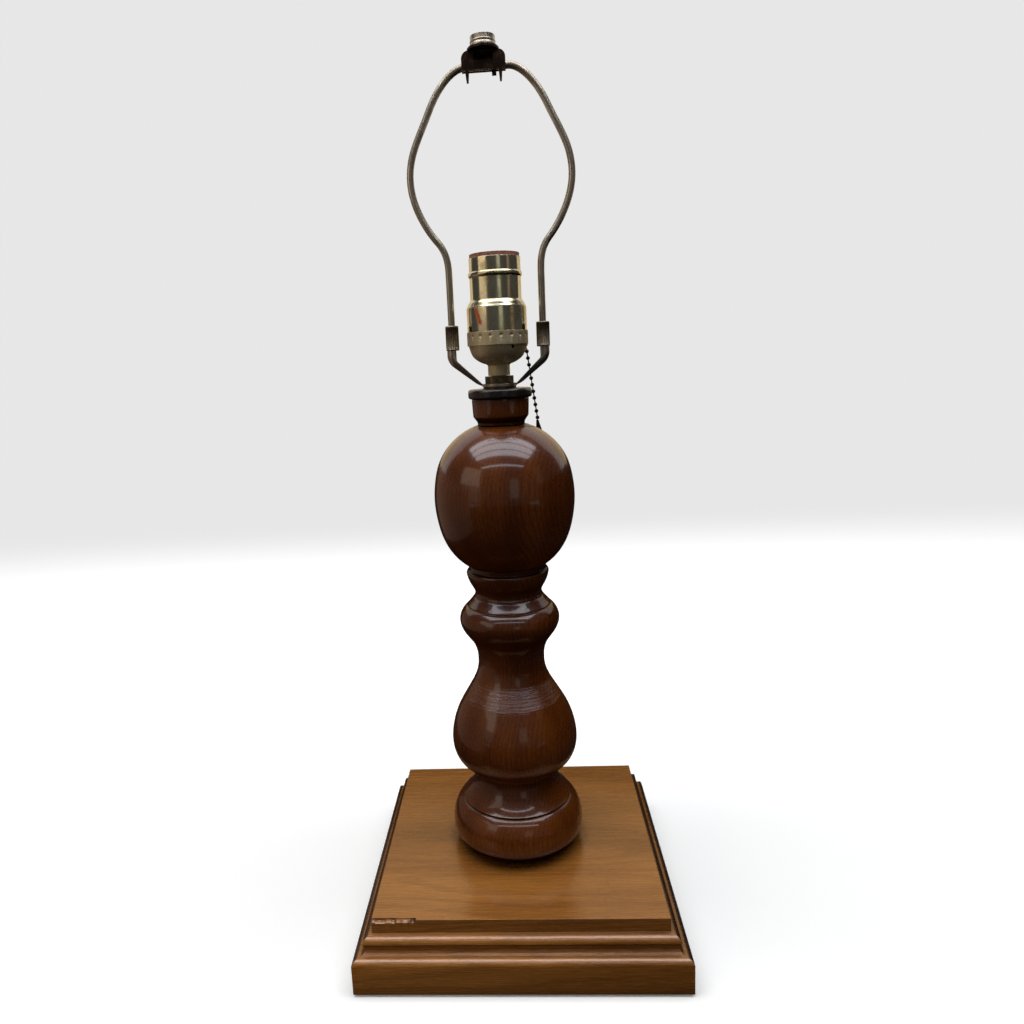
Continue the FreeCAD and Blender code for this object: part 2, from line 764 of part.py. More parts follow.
def shell_outline(inset, bottom, top, skirt_inset):
    """Stroke of the shell drawn in by inset, from its skirt to its rim, with no bead."""
    fall = shell_radius - shell_neck_radius

    def place(share):
        return at(shell_radius - inset - share[0] * fall, seam_height + share[1] * shell_height)

    body_top_point = place(shell_shoulder_shares[0])
    shoulder = Part.BSplineCurve()
    shoulder.interpolate(
        Points=[place(s) for s in shell_shoulder_shares],
        InitialTangent=Vector(0, 0, 1), FinalTangent=Vector(0, 0, 1))
    neck = place(shell_shoulder_shares[-1])
    skirt_radius = shell_radius - inset - skirt_inset
    points = [at(skirt_radius, bottom), at(skirt_radius, seam_height)]
    lines = [Part.LineSegment(*points).toShape()]
    if skirt_inset:
        lines.append(Part.LineSegment(points[1], at(shell_radius - inset, seam_height)).toShape())
    lines.append(Part.LineSegment(at(shell_radius - inset, seam_height), body_top_point).toShape())
    rim = at(neck.x, top)
    edges = lines + [shoulder.toShape(), Part.LineSegment(neck, rim).toShape()]
    return edges, points[0], rim


# Shell, with a joggled skirt inside the cap and a rolled bead
skirt_inset = shell_radius - (cap_inner_radius - thread_fit)
skirt_bottom = flange_rest_top + hair_gap
shell_top = seam_height + shell_height
shell_blank = spin(*shell_outline(0, skirt_bottom, shell_top, skirt_inset), 0)
shell_bead = Part.makeTorus(
    shell_neck_radius - bead_sink, bead_radius, Vector(0, 0, seam_height + bead_height))
shell_inside = spin(
    *shell_outline(shell_wall, skirt_bottom - overrun, shell_top + overrun, skirt_inset), 0)
notch = turn_to_chain(Part.makeCylinder(
    shell_notch_radius, cap_radius, Vector(0, 0, guide_level), Vector(1, 0, 0)))
notch_slot = turn_to_chain(box(
    Vector(0, -shell_notch_radius, cap_bottom), Vector(cap_radius, shell_notch_radius, guide_level)))
shell = shell_blank.fuse(shell_bead).cut(shell_inside).cut(notch).cut(notch_slot)
save(shell, "socket_shell")

# Fibre liner, standing out at the rim
liner_inset = shell_wall + liner_gap
liner_top = shell_top + liner_stand
liner_blank = spin(*shell_outline(liner_inset, flange_rest_top, liner_top, skirt_inset), 0)
liner_inside = spin(
    *shell_outline(liner_inset + liner_wall, flange_rest_top - overrun, liner_top + overrun, skirt_inset), 0)
liner = liner_blank.cut(liner_inside).cut(notch).cut(notch_slot)
save(liner, "shell_liner")

# Insulating body: flange on the cap's step, body with a cavity for the switch, barrel with a well
flange_rest_radius = cap_inner_radius - loose_fit
flange_rest = Part.makeCylinder(flange_rest_radius, flange_rest_thickness, Vector(0, 0, cap_step))
body = Part.makeCylinder(body_radius, body_level - cap_step, Vector(0, 0, cap_step))
barrel = Part.makeCylinder(barrel_radius, barrel_top - cap_step, Vector(0, 0, cap_step))
contact_height = contact_rise + contact_thickness
well_floor = barrel_top - contact_height - hair_gap
well = Part.makeCylinder(well_radius, contact_height + hair_gap + overrun, Vector(0, 0, well_floor))
interior = flange_rest.fuse([body, barrel]).cut(well)
cavity_top = guide_level + cavity_rise
cavity = box(
    Vector(-cavity_inner_reach, -cavity_half_width, guide_level - cavity_drop),
    Vector(cap_radius, cavity_half_width, cavity_top))
wire_way = tube_core(pipe_bore_radius, cap_step, flange_rest_thickness)
pivot_level = guide_level + lever_pivot_rise
interior = interior.cut(turn_to_chain(cavity))
for reach, radius in ((lever_reach, lever_pin_radius), (rotor_reach, rotor_pin_radius)):
    pin_hole = cross_rod(radius + running_fit, reach, pivot_level, pin_half_length)
    interior = interior.cut(turn_to_chain(pin_hole))
interior = interior.cut(wire_way)
terminal_level = flange_rest_top + terminal_lift
for side in (-1, 1):
    flat = box(
        Vector(-body_radius, terminal_offset, flange_rest_top),
        Vector(body_radius, body_radius + overrun, body_level + overrun))
    screw_hole = Part.makeCylinder(
        terminal_screw_radius + thread_fit, terminal_screw_length, Vector(0, terminal_offset, terminal_level),
        Vector(0, -1, 0))
    for cut in (flat, screw_hole):
        if side < 0:
            cut.rotate(Vector(0, 0, 0), Vector(0, 0, 1), half_turn)
        interior = interior.cut(turn_to_chain(cut))
save(interior, "socket_interior")

# Terminals on both sides
plates = []
screws = []
for side in (-1, 1):
    head_seat = terminal_offset + terminal_thickness
    plate = box(
        Vector(-terminal_width / 2, terminal_offset, terminal_level - terminal_height / 2),
        Vector(terminal_width / 2, head_seat, terminal_level + terminal_height / 2))
    plate = plate.cut(Part.makeCylinder(
        terminal_screw_radius + thread_fit, 2 * terminal_thickness,
        Vector(0, terminal_offset, terminal_level), Vector(0, 1, 0)))
    head = Part.makeCylinder(
        terminal_head_radius, terminal_head_height, Vector(0, head_seat, terminal_level), Vector(0, 1, 0))
    slot = box(
        Vector(-terminal_thickness / 2, head_seat + terminal_head_height / 2, terminal_level - cap_radius),
        Vector(terminal_thickness / 2, cap_radius, terminal_level + cap_radius))
    shank = Part.makeCylinder(
        terminal_screw_radius, terminal_screw_length, Vector(0, head_seat, terminal_level), Vector(0, -1, 0))
    screw = head.cut(slot).fuse(shank)
    for piece, group in ((plate, plates), (screw, screws)):
        if side < 0:
            piece.rotate(Vector(0, 0, 0), Vector(0, 0, 1), half_turn)
        group.append(turn_to_chain(piece))
save(Part.makeCompound(plates), "terminal_plates")
save(Part.makeCompound(screws), "terminal_screws")

# Screw shell on the barrel, and the centre contact in the barrel's well
screw_shell_outer = screw_shell_radius + screw_shell_wall
screw_shell = tube(screw_shell_outer, screw_shell_radius, barrel_top, screw_shell_height)
screw_floor = tube(screw_shell_outer, screw_shell_hole_radius, barrel_top, screw_shell_wall)
save(screw_shell.fuse(screw_floor), "screw_shell")
contact_profile = [
    at(-contact_reach, well_floor),
    at(-contact_reach / 2, well_floor),
    at(contact_reach / 2, well_floor + contact_rise),
    at(contact_reach / 2, well_floor + contact_height),
    at(-contact_reach / 2, well_floor + contact_thickness),
    at(-contact_reach, well_floor + contact_thickness),
]
contact = polygon(contact_profile).extrude(Vector(0, contact_width, 0))
contact.translate(Vector(0, -contact_width / 2, 0))
save(contact, "centre_contact")

# Chain guide: a tube with a belled mouth through the cap's wall
guide_inner = guide_radius - guide_wall
cap_face = cap_radius
guide_half = [
    Vector(guide_inner_reach, 0, guide_inner),
    Vector(guide_inner_reach, 0, guide_radius),
    Vector(cap_face, 0, guide_radius),
    Vector(guide_mouth_reach, 0, guide_radius + guide_flare),
    Vector(guide_mouth_reach, 0, guide_inner + guide_flare),
    Vector(cap_face, 0, guide_inner),
]
guide = polygon(guide_half).revolve(Vector(0, 0, 0), Vector(1, 0, 0), full_turn)
guide.translate(Vector(0, 0, guide_level))
save(turn_to_chain(guide), "chain_guide")


def beaded_run(steps, start, end):
    """Run of beads on a link wire along +X from the origin, turned as one solid."""
    shoulder = math.sqrt(bead_ball_radius ** 2 - link_radius ** 2)
    edges = []
    here = Vector(start, 0, link_radius)
    first = here
    for step in steps:
        near = Vector(step - shoulder, 0, link_radius)
        far = Vector(step + shoulder, 0, link_radius)
        if near.x > here.x:
            edges.append(Part.LineSegment(here, near).toShape())
        else:
            first = near
        edges.append(Part.Arc(near, Vector(step, 0, bead_ball_radius), far).toShape())
        here = far
    if end > here.x:
        last = Vector(end, 0, link_radius)
        edges.append(Part.LineSegment(here, last).toShape())
        here = last
    corners = [here, Vector(here.x, 0, 0), Vector(first.x, 0, 0), first]
    edges += [Part.LineSegment(a, b).toShape() for a, b in zip(corners, corners[1:])]
    return Part.Face(Part.Wire(edges)).revolve(Vector(0, 0, 0), Vector(1, 0, 0), full_turn)


# Chain: the lead inside the guide, then the hanging run with its bell
lead_steps = [hang_reach - n * bead_pitch for n in reversed(range(guided_beads))]
lead = beaded_run([lead_end_reach] + lead_steps, lead_end_reach, hang_reach)
lead.translate(Vector(0, 0, guide_level))
save(turn_to_chain(lead), "pull_lead")
link_start = bead_ball_radius + hair_gap
hang_steps = [bead_pitch * (n + 1) for n in range(hanging_beads)]
bell_step = hang_steps[-1] + bead_ball_radius
hanging = beaded_run(hang_steps, link_start, bell_step)
hanging.rotate(Vector(0, 0, 0), Vector(0, 1, 0), quarter_turn - chain_lean)
hanging.translate(at(hang_reach, guide_level))
save(turn_to_chain(hanging), "pull_chain")
lean = math.radians(chain_lean)
hang_way = Vector(math.sin(lean), 0, -math.cos(lean))
bell_top = at(hang_reach, guide_level) + hang_way * bell_step
bell_member = (bell_shares, chain_bell_radius, 0, chain_bell_length)
bell = turned((bell_member,), bell_start_share, 0)
bell.rotate(Vector(0, 0, 0), Vector(0, 1, 0), half_turn - chain_lean)
bell.translate(bell_top)
save(turn_to_chain(bell), "chain_bell")

# Lever on its pin: a slotted plate that the chain's end bead pulls, an eye and a finger
lever_eye_radius = lever_pin_radius + running_fit + lever_eye_wall
plate_low = guide_level - lever_foot_drop
lever = box(
    Vector(lever_reach - lever_plate_thickness / 2, -lever_half_width, plate_low),
    Vector(lever_reach + lever_plate_thickness / 2, lever_half_width, pivot_level))
lever = lever.cut(box(
    Vector(lever_reach - lever_plate_thickness, -lever_slot_half_width, plate_low - overrun),
    Vector(lever_reach + lever_plate_thickness, lever_slot_half_width, guide_level + lever_slot_rise)))
lever = lever.fuse(cross_rod(lever_eye_radius, lever_reach, pivot_level, lever_half_width))
half_plate = lever_plate_thickness / 2
finger = box(
    Vector(lever_reach - lever_finger_length, -lever_slot_half_width, pivot_level - half_plate),
    Vector(lever_reach, lever_slot_half_width, pivot_level + half_plate))
lever = lever.fuse(finger)
lever = lever.cut(cross_rod(lever_pin_radius + running_fit, lever_reach, pivot_level, pin_half_length))
save(turn_to_chain(lever), "chain_lever")
save(turn_to_chain(cross_rod(lever_pin_radius, lever_reach, pivot_level, pin_half_length)), "lever_pin")

# Return spring: a close coil beside the eye with a leg up to the roof of the cavity
spring_start = lever_half_width + spring_side_gap
spring_leg_length = cavity_top - hair_gap - pivot_level
coil = Part.makeCylinder(
    spring_radius + spring_wire_radius, spring_length,
    Vector(lever_reach, spring_start, pivot_level), Vector(0, 1, 0))
coil = coil.cut(cross_rod(spring_radius - spring_wire_radius, lever_reach, pivot_level, pin_half_length))
leg = Part.makeCylinder(
    spring_wire_radius * spring_leg_share, spring_leg_length,
    Vector(lever_reach + spring_radius, spring_start + spring_wire_radius, pivot_level))
save(turn_to_chain(coil.fuse(leg)), "return_spring")

# Switch rotor: a drum with a ring of notches on its own pin
rotor = cross_rod(rotor_radius, rotor_reach, pivot_level, rotor_half_width)
for n in range(rotor_notches):
    turn = math.radians(full_turn / rotor_notches * n + quarter_turn / 2)
    notch_place = (rotor_reach + rotor_radius * math.cos(turn), pivot_level + rotor_radius * math.sin(turn))
    rotor = rotor.cut(cross_rod(rotor_notch_radius, *notch_place, rotor_half_width + overrun))
rotor = rotor.cut(cross_rod(rotor_pin_radius + running_fit, rotor_reach, pivot_level, pin_half_length))
save(turn_to_chain(rotor), "switch_rotor")
save(turn_to_chain(cross_rod(rotor_pin_radius, rotor_reach, pivot_level, pin_half_length)), "rotor_pin")
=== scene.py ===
import json
import math
from functools import partial

import bmesh
import bpy
from bpy.props import FloatProperty, FloatVectorProperty, IntProperty, PointerProperty
from mathutils import Matrix, Vector, noise
from mathutils.geometry import interpolate_bezier


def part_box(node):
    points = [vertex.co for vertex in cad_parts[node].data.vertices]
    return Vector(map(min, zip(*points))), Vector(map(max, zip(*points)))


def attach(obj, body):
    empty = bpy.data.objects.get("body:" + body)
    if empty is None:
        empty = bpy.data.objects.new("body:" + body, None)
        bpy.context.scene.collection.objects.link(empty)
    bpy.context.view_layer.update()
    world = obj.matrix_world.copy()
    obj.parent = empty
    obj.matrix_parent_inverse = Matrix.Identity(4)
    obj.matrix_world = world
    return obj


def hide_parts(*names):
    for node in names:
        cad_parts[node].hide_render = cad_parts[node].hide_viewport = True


bl_info = {
    "name": "Turned table lamp",
    "version": (1, 0, 0),
    "blender": (4, 5, 0),
    "location": "3D View > Sidebar > Lamp",
    "description": "Dresses the packed lamp: turned wood, moulded plinth, brass socket, chain and harp",
    "category": "Object",
}

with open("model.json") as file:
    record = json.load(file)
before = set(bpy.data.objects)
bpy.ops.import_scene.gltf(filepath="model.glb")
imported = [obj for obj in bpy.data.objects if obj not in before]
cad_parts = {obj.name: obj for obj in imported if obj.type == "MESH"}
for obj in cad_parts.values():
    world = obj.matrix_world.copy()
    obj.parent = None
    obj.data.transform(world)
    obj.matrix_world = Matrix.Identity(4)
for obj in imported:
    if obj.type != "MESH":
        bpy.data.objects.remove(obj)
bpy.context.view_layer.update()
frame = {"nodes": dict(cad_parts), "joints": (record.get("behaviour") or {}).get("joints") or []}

MM = 0.001
FULL_TURN = 2 * math.pi
FRONT = Vector((0, -1, 0))
UP = Vector((0, 0, 1))
# Knots of the harp's right side in mm: distance out, drop from the top, direction in degrees, and how
# far the curve's handles reach before and after the knot
HARP_BOW = (
    (28.15, 118.5, 90, 0, 7.2),
    (33.9, 96.6, 50, 9.2, 9.2),
    (48.4, 60.6, 90, 14.8, 14.8),
    (35.0, 22.4, 115, 15.9, 15.9),
    (13.0, 0, 180, 6.3, 0),
)
BOW_POINTS = 18


# Mesh helpers

def weld(bm, reach):
    bmesh.ops.remove_doubles(bm, verts=bm.verts, dist=reach)


def face_outward(bm):
    bmesh.ops.recalc_face_normals(bm, faces=bm.faces)


def joined_copy(node):
    """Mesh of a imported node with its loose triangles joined."""
    bm = bmesh.new()
    bm.from_mesh(frame["nodes"][node].data)
    weld(bm, 0.002 * MM)
    return bm


def cut_across(bm, place, direction, **clear):
    bmesh.ops.bisect_plane(
        bm, geom=bm.verts[:] + bm.edges[:] + bm.faces[:], dist=0.0001 * MM, plane_co=place,
        plane_no=direction, **clear)


def cut_level(bm, height, **clear):
    cut_across(bm, (0, 0, height), UP, **clear)


def merge_flat(bm, angle):
    """Joins the faces and edges that bend by less than the angle, in degrees."""
    bmesh.ops.dissolve_limit(
        bm, angle_limit=math.radians(angle), use_dissolve_boundaries=False, verts=bm.verts[:],
        edges=bm.edges[:])


def split_large_faces(bm):
    bmesh.ops.triangulate(bm, faces=[f for f in bm.faces if len(f.verts) > 4])


def turned_copy(node, steps, arris, axis_x=0.0):
    """A turned node spun anew from its outline, with its sharp edges rounded over by the arris."""
    bm = joined_copy(node)
    cut_across(bm, (axis_x, 0, 0), (0, 1, 0), clear_outer=True, clear_inner=True)
    far_side = [v for v in bm.verts if v.co.x < axis_x - 0.001 * MM]
    bmesh.ops.delete(bm, geom=far_side, context="VERTS")
    merge_flat(bm, 1.5)
    bmesh.ops.spin(
        bm, geom=bm.verts[:] + bm.edges[:], cent=(axis_x, 0, 0), axis=UP, angle=FULL_TURN, steps=steps,
        use_merge=True)
    weld(bm, 0.001 * MM)
    face_outward(bm)
    if arris:
        sharp = [e for e in bm.edges if e.is_manifold and e.calc_face_angle(0) > math.radians(25)]
        bmesh.ops.bevel(
            bm, geom=sharp, offset=arris, offset_type="OFFSET", segments=2, profile=0.5,
            affect="EDGES", clamp_overlap=True, material=-1)
    return bm


def draw_out(bm, edges):
    """Extrudes edges where they stand; gives the new vertices and the edges between them."""
    grown = bmesh.ops.extrude_edge_only(bm, edges=edges)["geom"]
    verts = [g for g in grown if isinstance(g, bmesh.types.BMVert)]
    fresh = set(verts)
    return verts, [g for g in grown if isinstance(g, bmesh.types.BMEdge) and fresh.issuperset(g.verts)]


def set_radius(verts, radius):
    for v in verts:
        share = radius / math.hypot(v.co.x, v.co.y)
        v.co.x *= share
        v.co.y *= share


def helix_wall(bm, profile, pitch, low, high, steps):
    """Thread: one pitch of the profile (radius, height) wound up from low to high, its ends cut level."""
    first = [bm.verts.new((r, 0, low - pitch + h)) for r, h in profile]
    edges = [bm.edges.new(pair) for pair in zip(first, first[1:])]
    turns = math.ceil((high - low) / pitch) + 2
    bmesh.ops.spin(
        bm, geom=first + edges, cent=(0, 0, 0), axis=UP, dvec=(0, 0, pitch / steps),
        angle=FULL_TURN * turns, steps=steps * turns)
    weld(bm, 0.004 * MM)
    cut_level(bm, low, clear_inner=True)
    cut_level(bm, high, clear_outer=True)


def open_edges(bm, height):
    return [e for e in bm.edges
            if e.is_boundary and all(abs(v.co.z - height) < 0.01 * MM for v in e.verts)]


def standing_along(way):
    """Turn that brings Z onto the way."""
    return way.to_track_quat("Z", "Y").to_matrix().to_4x4()


def sweep_wire(bm, path, radius):
    """Round wire along a path, from one circle that is drawn out and turned from point to point."""
    spans = [(b - a).normalized() for a, b in zip(path, path[1:])]
    ways = [spans[0], *((a + b).normalized() for a, b in zip(spans, spans[1:])), spans[-1]]
    stand = Matrix.Translation(path[0]) @ standing_along(ways[0])
    bmesh.ops.create_circle(bm, cap_ends=True, segments=20, radius=radius, matrix=stand)
    edges = bm.edges[:]
    for start, end, old, new in zip(path, path[1:], ways, ways[1:]):
        verts, edges = draw_out(bm, edges)
        turn = old.rotation_difference(new).to_matrix().to_4x4()
        move = Matrix.Translation(end) @ turn @ Matrix.Translation(-start)
        bmesh.ops.transform(bm, matrix=move, verts=verts)
    bmesh.ops.edgeloop_fill(bm, edges=edges)
    face_outward(bm)


def new_object(name, bm):
    mesh = bpy.data.meshes.new(name)
    bm.to_mesh(mesh)
    bm.free()
    made = bpy.data.objects.new(name, mesh)
    bpy.context.scene.collection.objects.link(made)
    return made


def place_piece(bm, name, body, finish, nodes, sharp_angle=32.0):
    """Turns the mesh into a piece that rides on a body, wears a finish and stands for the nodes."""
    for face in bm.faces:
        face.smooth = True
    for edge in bm.edges:
        if edge.is_manifold and edge.calc_face_angle(0) > math.radians(sharp_angle):
            edge.smooth = False
    piece = new_object(name, bm)
    piece.data.materials.append(finish_named(finish))
    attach(piece, body)
    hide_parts(*nodes)
    return piece


def finish_nodes(**finishes):
    """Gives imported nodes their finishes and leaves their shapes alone."""
    for node, finish in finishes.items():
        for slot in frame["nodes"][node].material_slots:
            slot.material = finish_named(finish)


def rounded(piece, width):
    """Worn edges on a finished piece."""
    bevel = piece.modifiers.new("Worn edges", "BEVEL")
    bevel.width = width
    bevel.segments = 2
    bevel.limit_method = "ANGLE"
    bevel.angle_limit = math.radians(30)


# Node helpers

def feed(socket, value):
    if isinstance(value, bpy.types.NodeSocket):
        socket.id_data.links.new(value, socket)
    else:
        socket.default_value = value


def feed_all(node, **inputs):
    """Feeds a node; an underscore in a name stands for a space."""
    for name, value in inputs.items():
        feed(node.inputs[name.replace("_", " ")], value)


def add(tree, kind, inputs=None, **settings):
    made = tree.nodes.new("ShaderNode" + kind)
    for key, value in settings.items():
        setattr(made, key, value)
    for key, value in (inputs or {}).items():
        feed(made.inputs[key], value)
    return made


def after(kind, inputs, **settings):
    """Adds a node to the tree that its inputs come from."""
    tree = next(v.id_data for v in inputs.values() if isinstance(v, bpy.types.NodeSocket))
    return add(tree, kind, inputs, **settings)


def maths(operation, first, second=0.0, clamp=False):
    return after("Math", {0: first, 1: second}, operation=operation, use_clamp=clamp).outputs[0]


times = partial(maths, "MULTIPLY")
plus = partial(maths, "ADD")
minus = partial(maths, "SUBTRACT")
one_over = partial(maths, "DIVIDE", 1.0)


def vectors(operation, first, second):
    return after("VectorMath", {0: first, 1: second}, operation=operation).outputs


def enlarged(vector, factor):
    return after("VectorMath", {0: vector, "Scale": factor}, operation="SCALE").outputs[0]


def axes(vector):
    return after("SeparateXYZ", {0: vector}).outputs


def facing(tree):
    """The surface's own normal."""
    return add(tree, "NewGeometry").outputs["Normal"]


def ramp(value, low, high, to_low=0.0, to_high=1.0):
    """Smooth step of the value between low and high."""
    return after("MapRange", {
        "Value": value, "From Min": low, "From Max": high, "To Min": to_low, "To Max": to_high,
    }, interpolation_type="SMOOTHSTEP", clamp=True).outputs["Result"]


def mix_colour(share, first, second, blend="MIX"):
    return after("Mix", {0: share, 6: first, 7: second}, data_type="RGBA", blend_type=blend,
                 clamp_factor=True).outputs[2]


def scaled(vector, scale, offset=(0, 0, 0), turn=(0, 0, 0)):
    return after("Mapping", {
        "Vector": vector, "Location": offset, "Rotation": turn, "Scale": scale,
    }).outputs[0]


def fog(vector, scale, detail=3.0, roughness=0.55, distortion=0.0):
    return after("TexNoise", {
        "Vector": vector, "Scale": scale, "Detail": detail, "Roughness": roughness,
        "Distortion": distortion,
    }).outputs["Fac"]


def here(tree):
    return add(tree, "TexCoord").outputs["Object"]


def in_millimetres(tree, turn=(0, 0, 0), offset=(0, 0, 0)):
    """Object coordinates in millimetres, turned so that the grain runs along Z."""
    return scaled(enlarged(here(tree), 1 / MM), (1, 1, 1), offset, turn)


def colour(*rgb):
    """A colour given as a screen shows it, from 0 to 255."""
    def straight(part):
        part /= 255
        return part / 12.92 if part <= 0.04045 else ((part + 0.055) / 1.055) ** 2.4
    return (*(straight(part) for part in rgb), 1.0)


def stated(tone):
    """Colour of a finish: the name of a setting, or what a screen shows."""
    return getattr(bpy.context.scene.lamp_finishes, tone) if isinstance(tone, str) else colour(*tone)


def grey(level):
    return (level, level, level, 1)


# Effects that several finishes share

def new_group(name, inputs, outputs):
    """Empty effect. Its sockets hold numbers, but for those named Vector and Soft normal."""
    tree = bpy.data.node_groups.new(name, "ShaderNodeTree")

    def socket(label, way):
        kind = "Vector" if label in ("Vector", "Soft normal") else "Float"
        return tree.interface.new_socket(name=label, in_out=way, socket_type="NodeSocket" + kind)

    for label, default in inputs.items():
        made = socket(label, "INPUT")
        if default is not None:
            made.default_value = default
    for label in outputs:
        socket(label, "OUTPUT")
    return tree, tree.nodes.new("NodeGroupInput").outputs


def put_out(tree, **results):
    feed_all(tree.nodes.new("NodeGroupOutput"), **results)
    return tree


def wood_grain_group():
    """Growth rings, fibre and pores of timber whose grain runs along the vector's Z, in millimetres."""
    tree, given = new_group("Wood grain", {
        "Vector": None, "Ring width": 3.2, "Wander": 6.0, "Fibre width": 0.7, "Pore length": 9.0,
    }, ("Rings", "Fibre", "Pores", "Shade", "Height"))
    place = given["Vector"]
    slow = scaled(place, (1, 1, 0.12))
    drift = after("TexNoise", {"Vector": slow, "Scale": 0.022, "Detail": 2.0, "Roughness": 0.45})
    centred = vectors("SUBTRACT", drift.outputs["Color"], (0.5, 0.5, 0.5))[0]
    moved = enlarged(centred, times(given["Wander"], 4.0))
    bent = axes(vectors("ADD", place, moved)[0])
    flat = after("CombineXYZ", {"X": bent["X"], "Y": bent["Y"]})
    far = after("VectorMath", {0: flat.outputs[0]}, operation="LENGTH").outputs["Value"]
    wobble = times(fog(scaled(place, (0.35, 0.35, 0.02)), 1.0, 2.0), 0.5)
    count = plus(maths("DIVIDE", far, given["Ring width"]), wobble)
    phase = maths("FRACT", count)
    rings = times(ramp(phase, 0.35, 0.93), ramp(phase, 0.93, 1.0, 1.0, 0.0))
    fibre = fog(scaled(place, (1, 1, 0.03)), one_over(given["Fibre width"]), 4.0, 0.6)
    stretch = after("CombineXYZ", {"X": 2.6, "Y": 2.6, "Z": one_over(given["Pore length"])})
    pore_noise = fog(vectors("MULTIPLY", place, stretch.outputs[0])[0], 1.0, 2.0, 0.5)
    early = minus(1.0, times(rings, 0.5))
    pores = times(ramp(pore_noise, 0.60, 0.70), early)
    broad = fog(scaled(place, (1, 1, 0.2)), 0.035, 2.0)
    height = minus(times(fibre, 0.35), times(pores, 0.8))
    return put_out(tree, Rings=rings, Fibre=fibre, Pores=pores, Shade=broad, Height=height)


def edge_wear_group():
    """Mask of the edges that handling rubs, broken up by noise."""
    tree, given = new_group("Edge wear", {
        "Radius": 0.5 * MM, "Amount": 1.0, "Patch size": 4.0,
    }, ("Mask", "Soft normal"))
    soft = after("Bevel", {"Radius": given["Radius"]}, samples=4).outputs[0]
    worn = ramp(vectors("DOT_PRODUCT", soft, facing(tree))["Value"], 0.99, 0.86)
    patches = fog(in_millimetres(tree), one_over(given["Patch size"]), 4.0, 0.65)
    share = times(worn, times(ramp(patches, 0.35, 0.6), given["Amount"]), clamp=True)
    return put_out(tree, Mask=share, Soft_normal=soft)


def tarnish_group():
    """Patches of dulled metal, dark specks and fine rubbing marks."""
    tree, given = new_group("Tarnish", {
        "Vector": None, "Patch size": 9.0, "Cover": 0.5,
    }, ("Mask", "Specks", "Rubbing"))
    place = given["Vector"]
    broad = fog(place, one_over(given["Patch size"]), 5.0, 0.62, 0.6)
    edge = minus(0.85, times(given["Cover"], 0.6))
    mask = ramp(broad, minus(edge, 0.28), edge)
    specks = ramp(fog(place, 1.1, 2.0, 0.5), 0.66, 0.74)
    rubbing = fog(scaled(place, (1, 1, 14)), 0.6, 3.0, 0.6)
    return put_out(tree, Mask=mask, Specks=specks, Rubbing=rubbing)


def dust_group():
    """Fine dust that settles on what faces up."""
    tree, given = new_group("Dust", {"Amount": 0.3}, ("Mask",))
    level = ramp(axes(facing(tree))["Z"], 0.45, 0.95)
    grains = ramp(fog(in_millimetres(tree), 0.9, 5.0, 0.75), 0.42, 0.72)
    return put_out(tree, Mask=times(times(level, grains), given["Amount"], clamp=True))


def hollow_shade_group():
    """Painted shade: a mask of the hollows, found by ambient occlusion as far as the reach, that darkens
    them.
    """
    tree, given = new_group("Grime", {"Reach": 12.0 * MM, "Amount": 0.8}, ("Mask",))
    hollow = after("AmbientOcclusion", {"Distance": given["Reach"]}, samples=6).outputs["AO"]
    return put_out(tree, Mask=times(ramp(hollow, 0.9, 0.48), given["Amount"], clamp=True))


EFFECT_MAKERS = {
    "Wood grain": wood_grain_group,
    "Edge wear": edge_wear_group,
    "Tarnish": tarnish_group,
    "Dust": dust_group,
    "Grime": hollow_shade_group,
}
built_effects = {}


def use_group(tree, name, **inputs):
    if name not in built_effects:
        built_effects[name] = EFFECT_MAKERS[name]()
    made = tree.nodes.new("ShaderNodeGroup")
    made.node_tree = built_effects[name]
    feed_all(made, **inputs)
    return made.outputs


# Finishes

def new_finish(name):
    material = bpy.data.materials.new(name)
    material.use_nodes = True
    tree = material.node_tree
    return material, tree, tree.nodes["Principled BSDF"]


def bump(shader, height, distance, strength=1.0, **soft):
    """Raises the surface; a soft normal is passed as Normal."""
    made = after("Bump", {"Height": height, "Strength": strength, "Distance": distance, **soft})
    feed(shader.inputs["Normal"], made.outputs[0])


def tool_marks(tree, low, high, pitch, depth):
    """Height in mm of the ridges that a turning tool leaves between two levels in mm."""
    place = in_millimetres(tree)
    level = axes(place)["Z"]
    fade = 1.5
    above = ramp(level, low - fade, low + fade)
    below = ramp(level, high + fade, high - fade)
    uneven = fog(scaled(place, (0.12, 0.12, 0.7)), 1.0)
    step = maths("FRACT", plus(times(level, 1 / pitch), uneven))
    return times(times(minus(0.5, step), times(above, below)), depth)


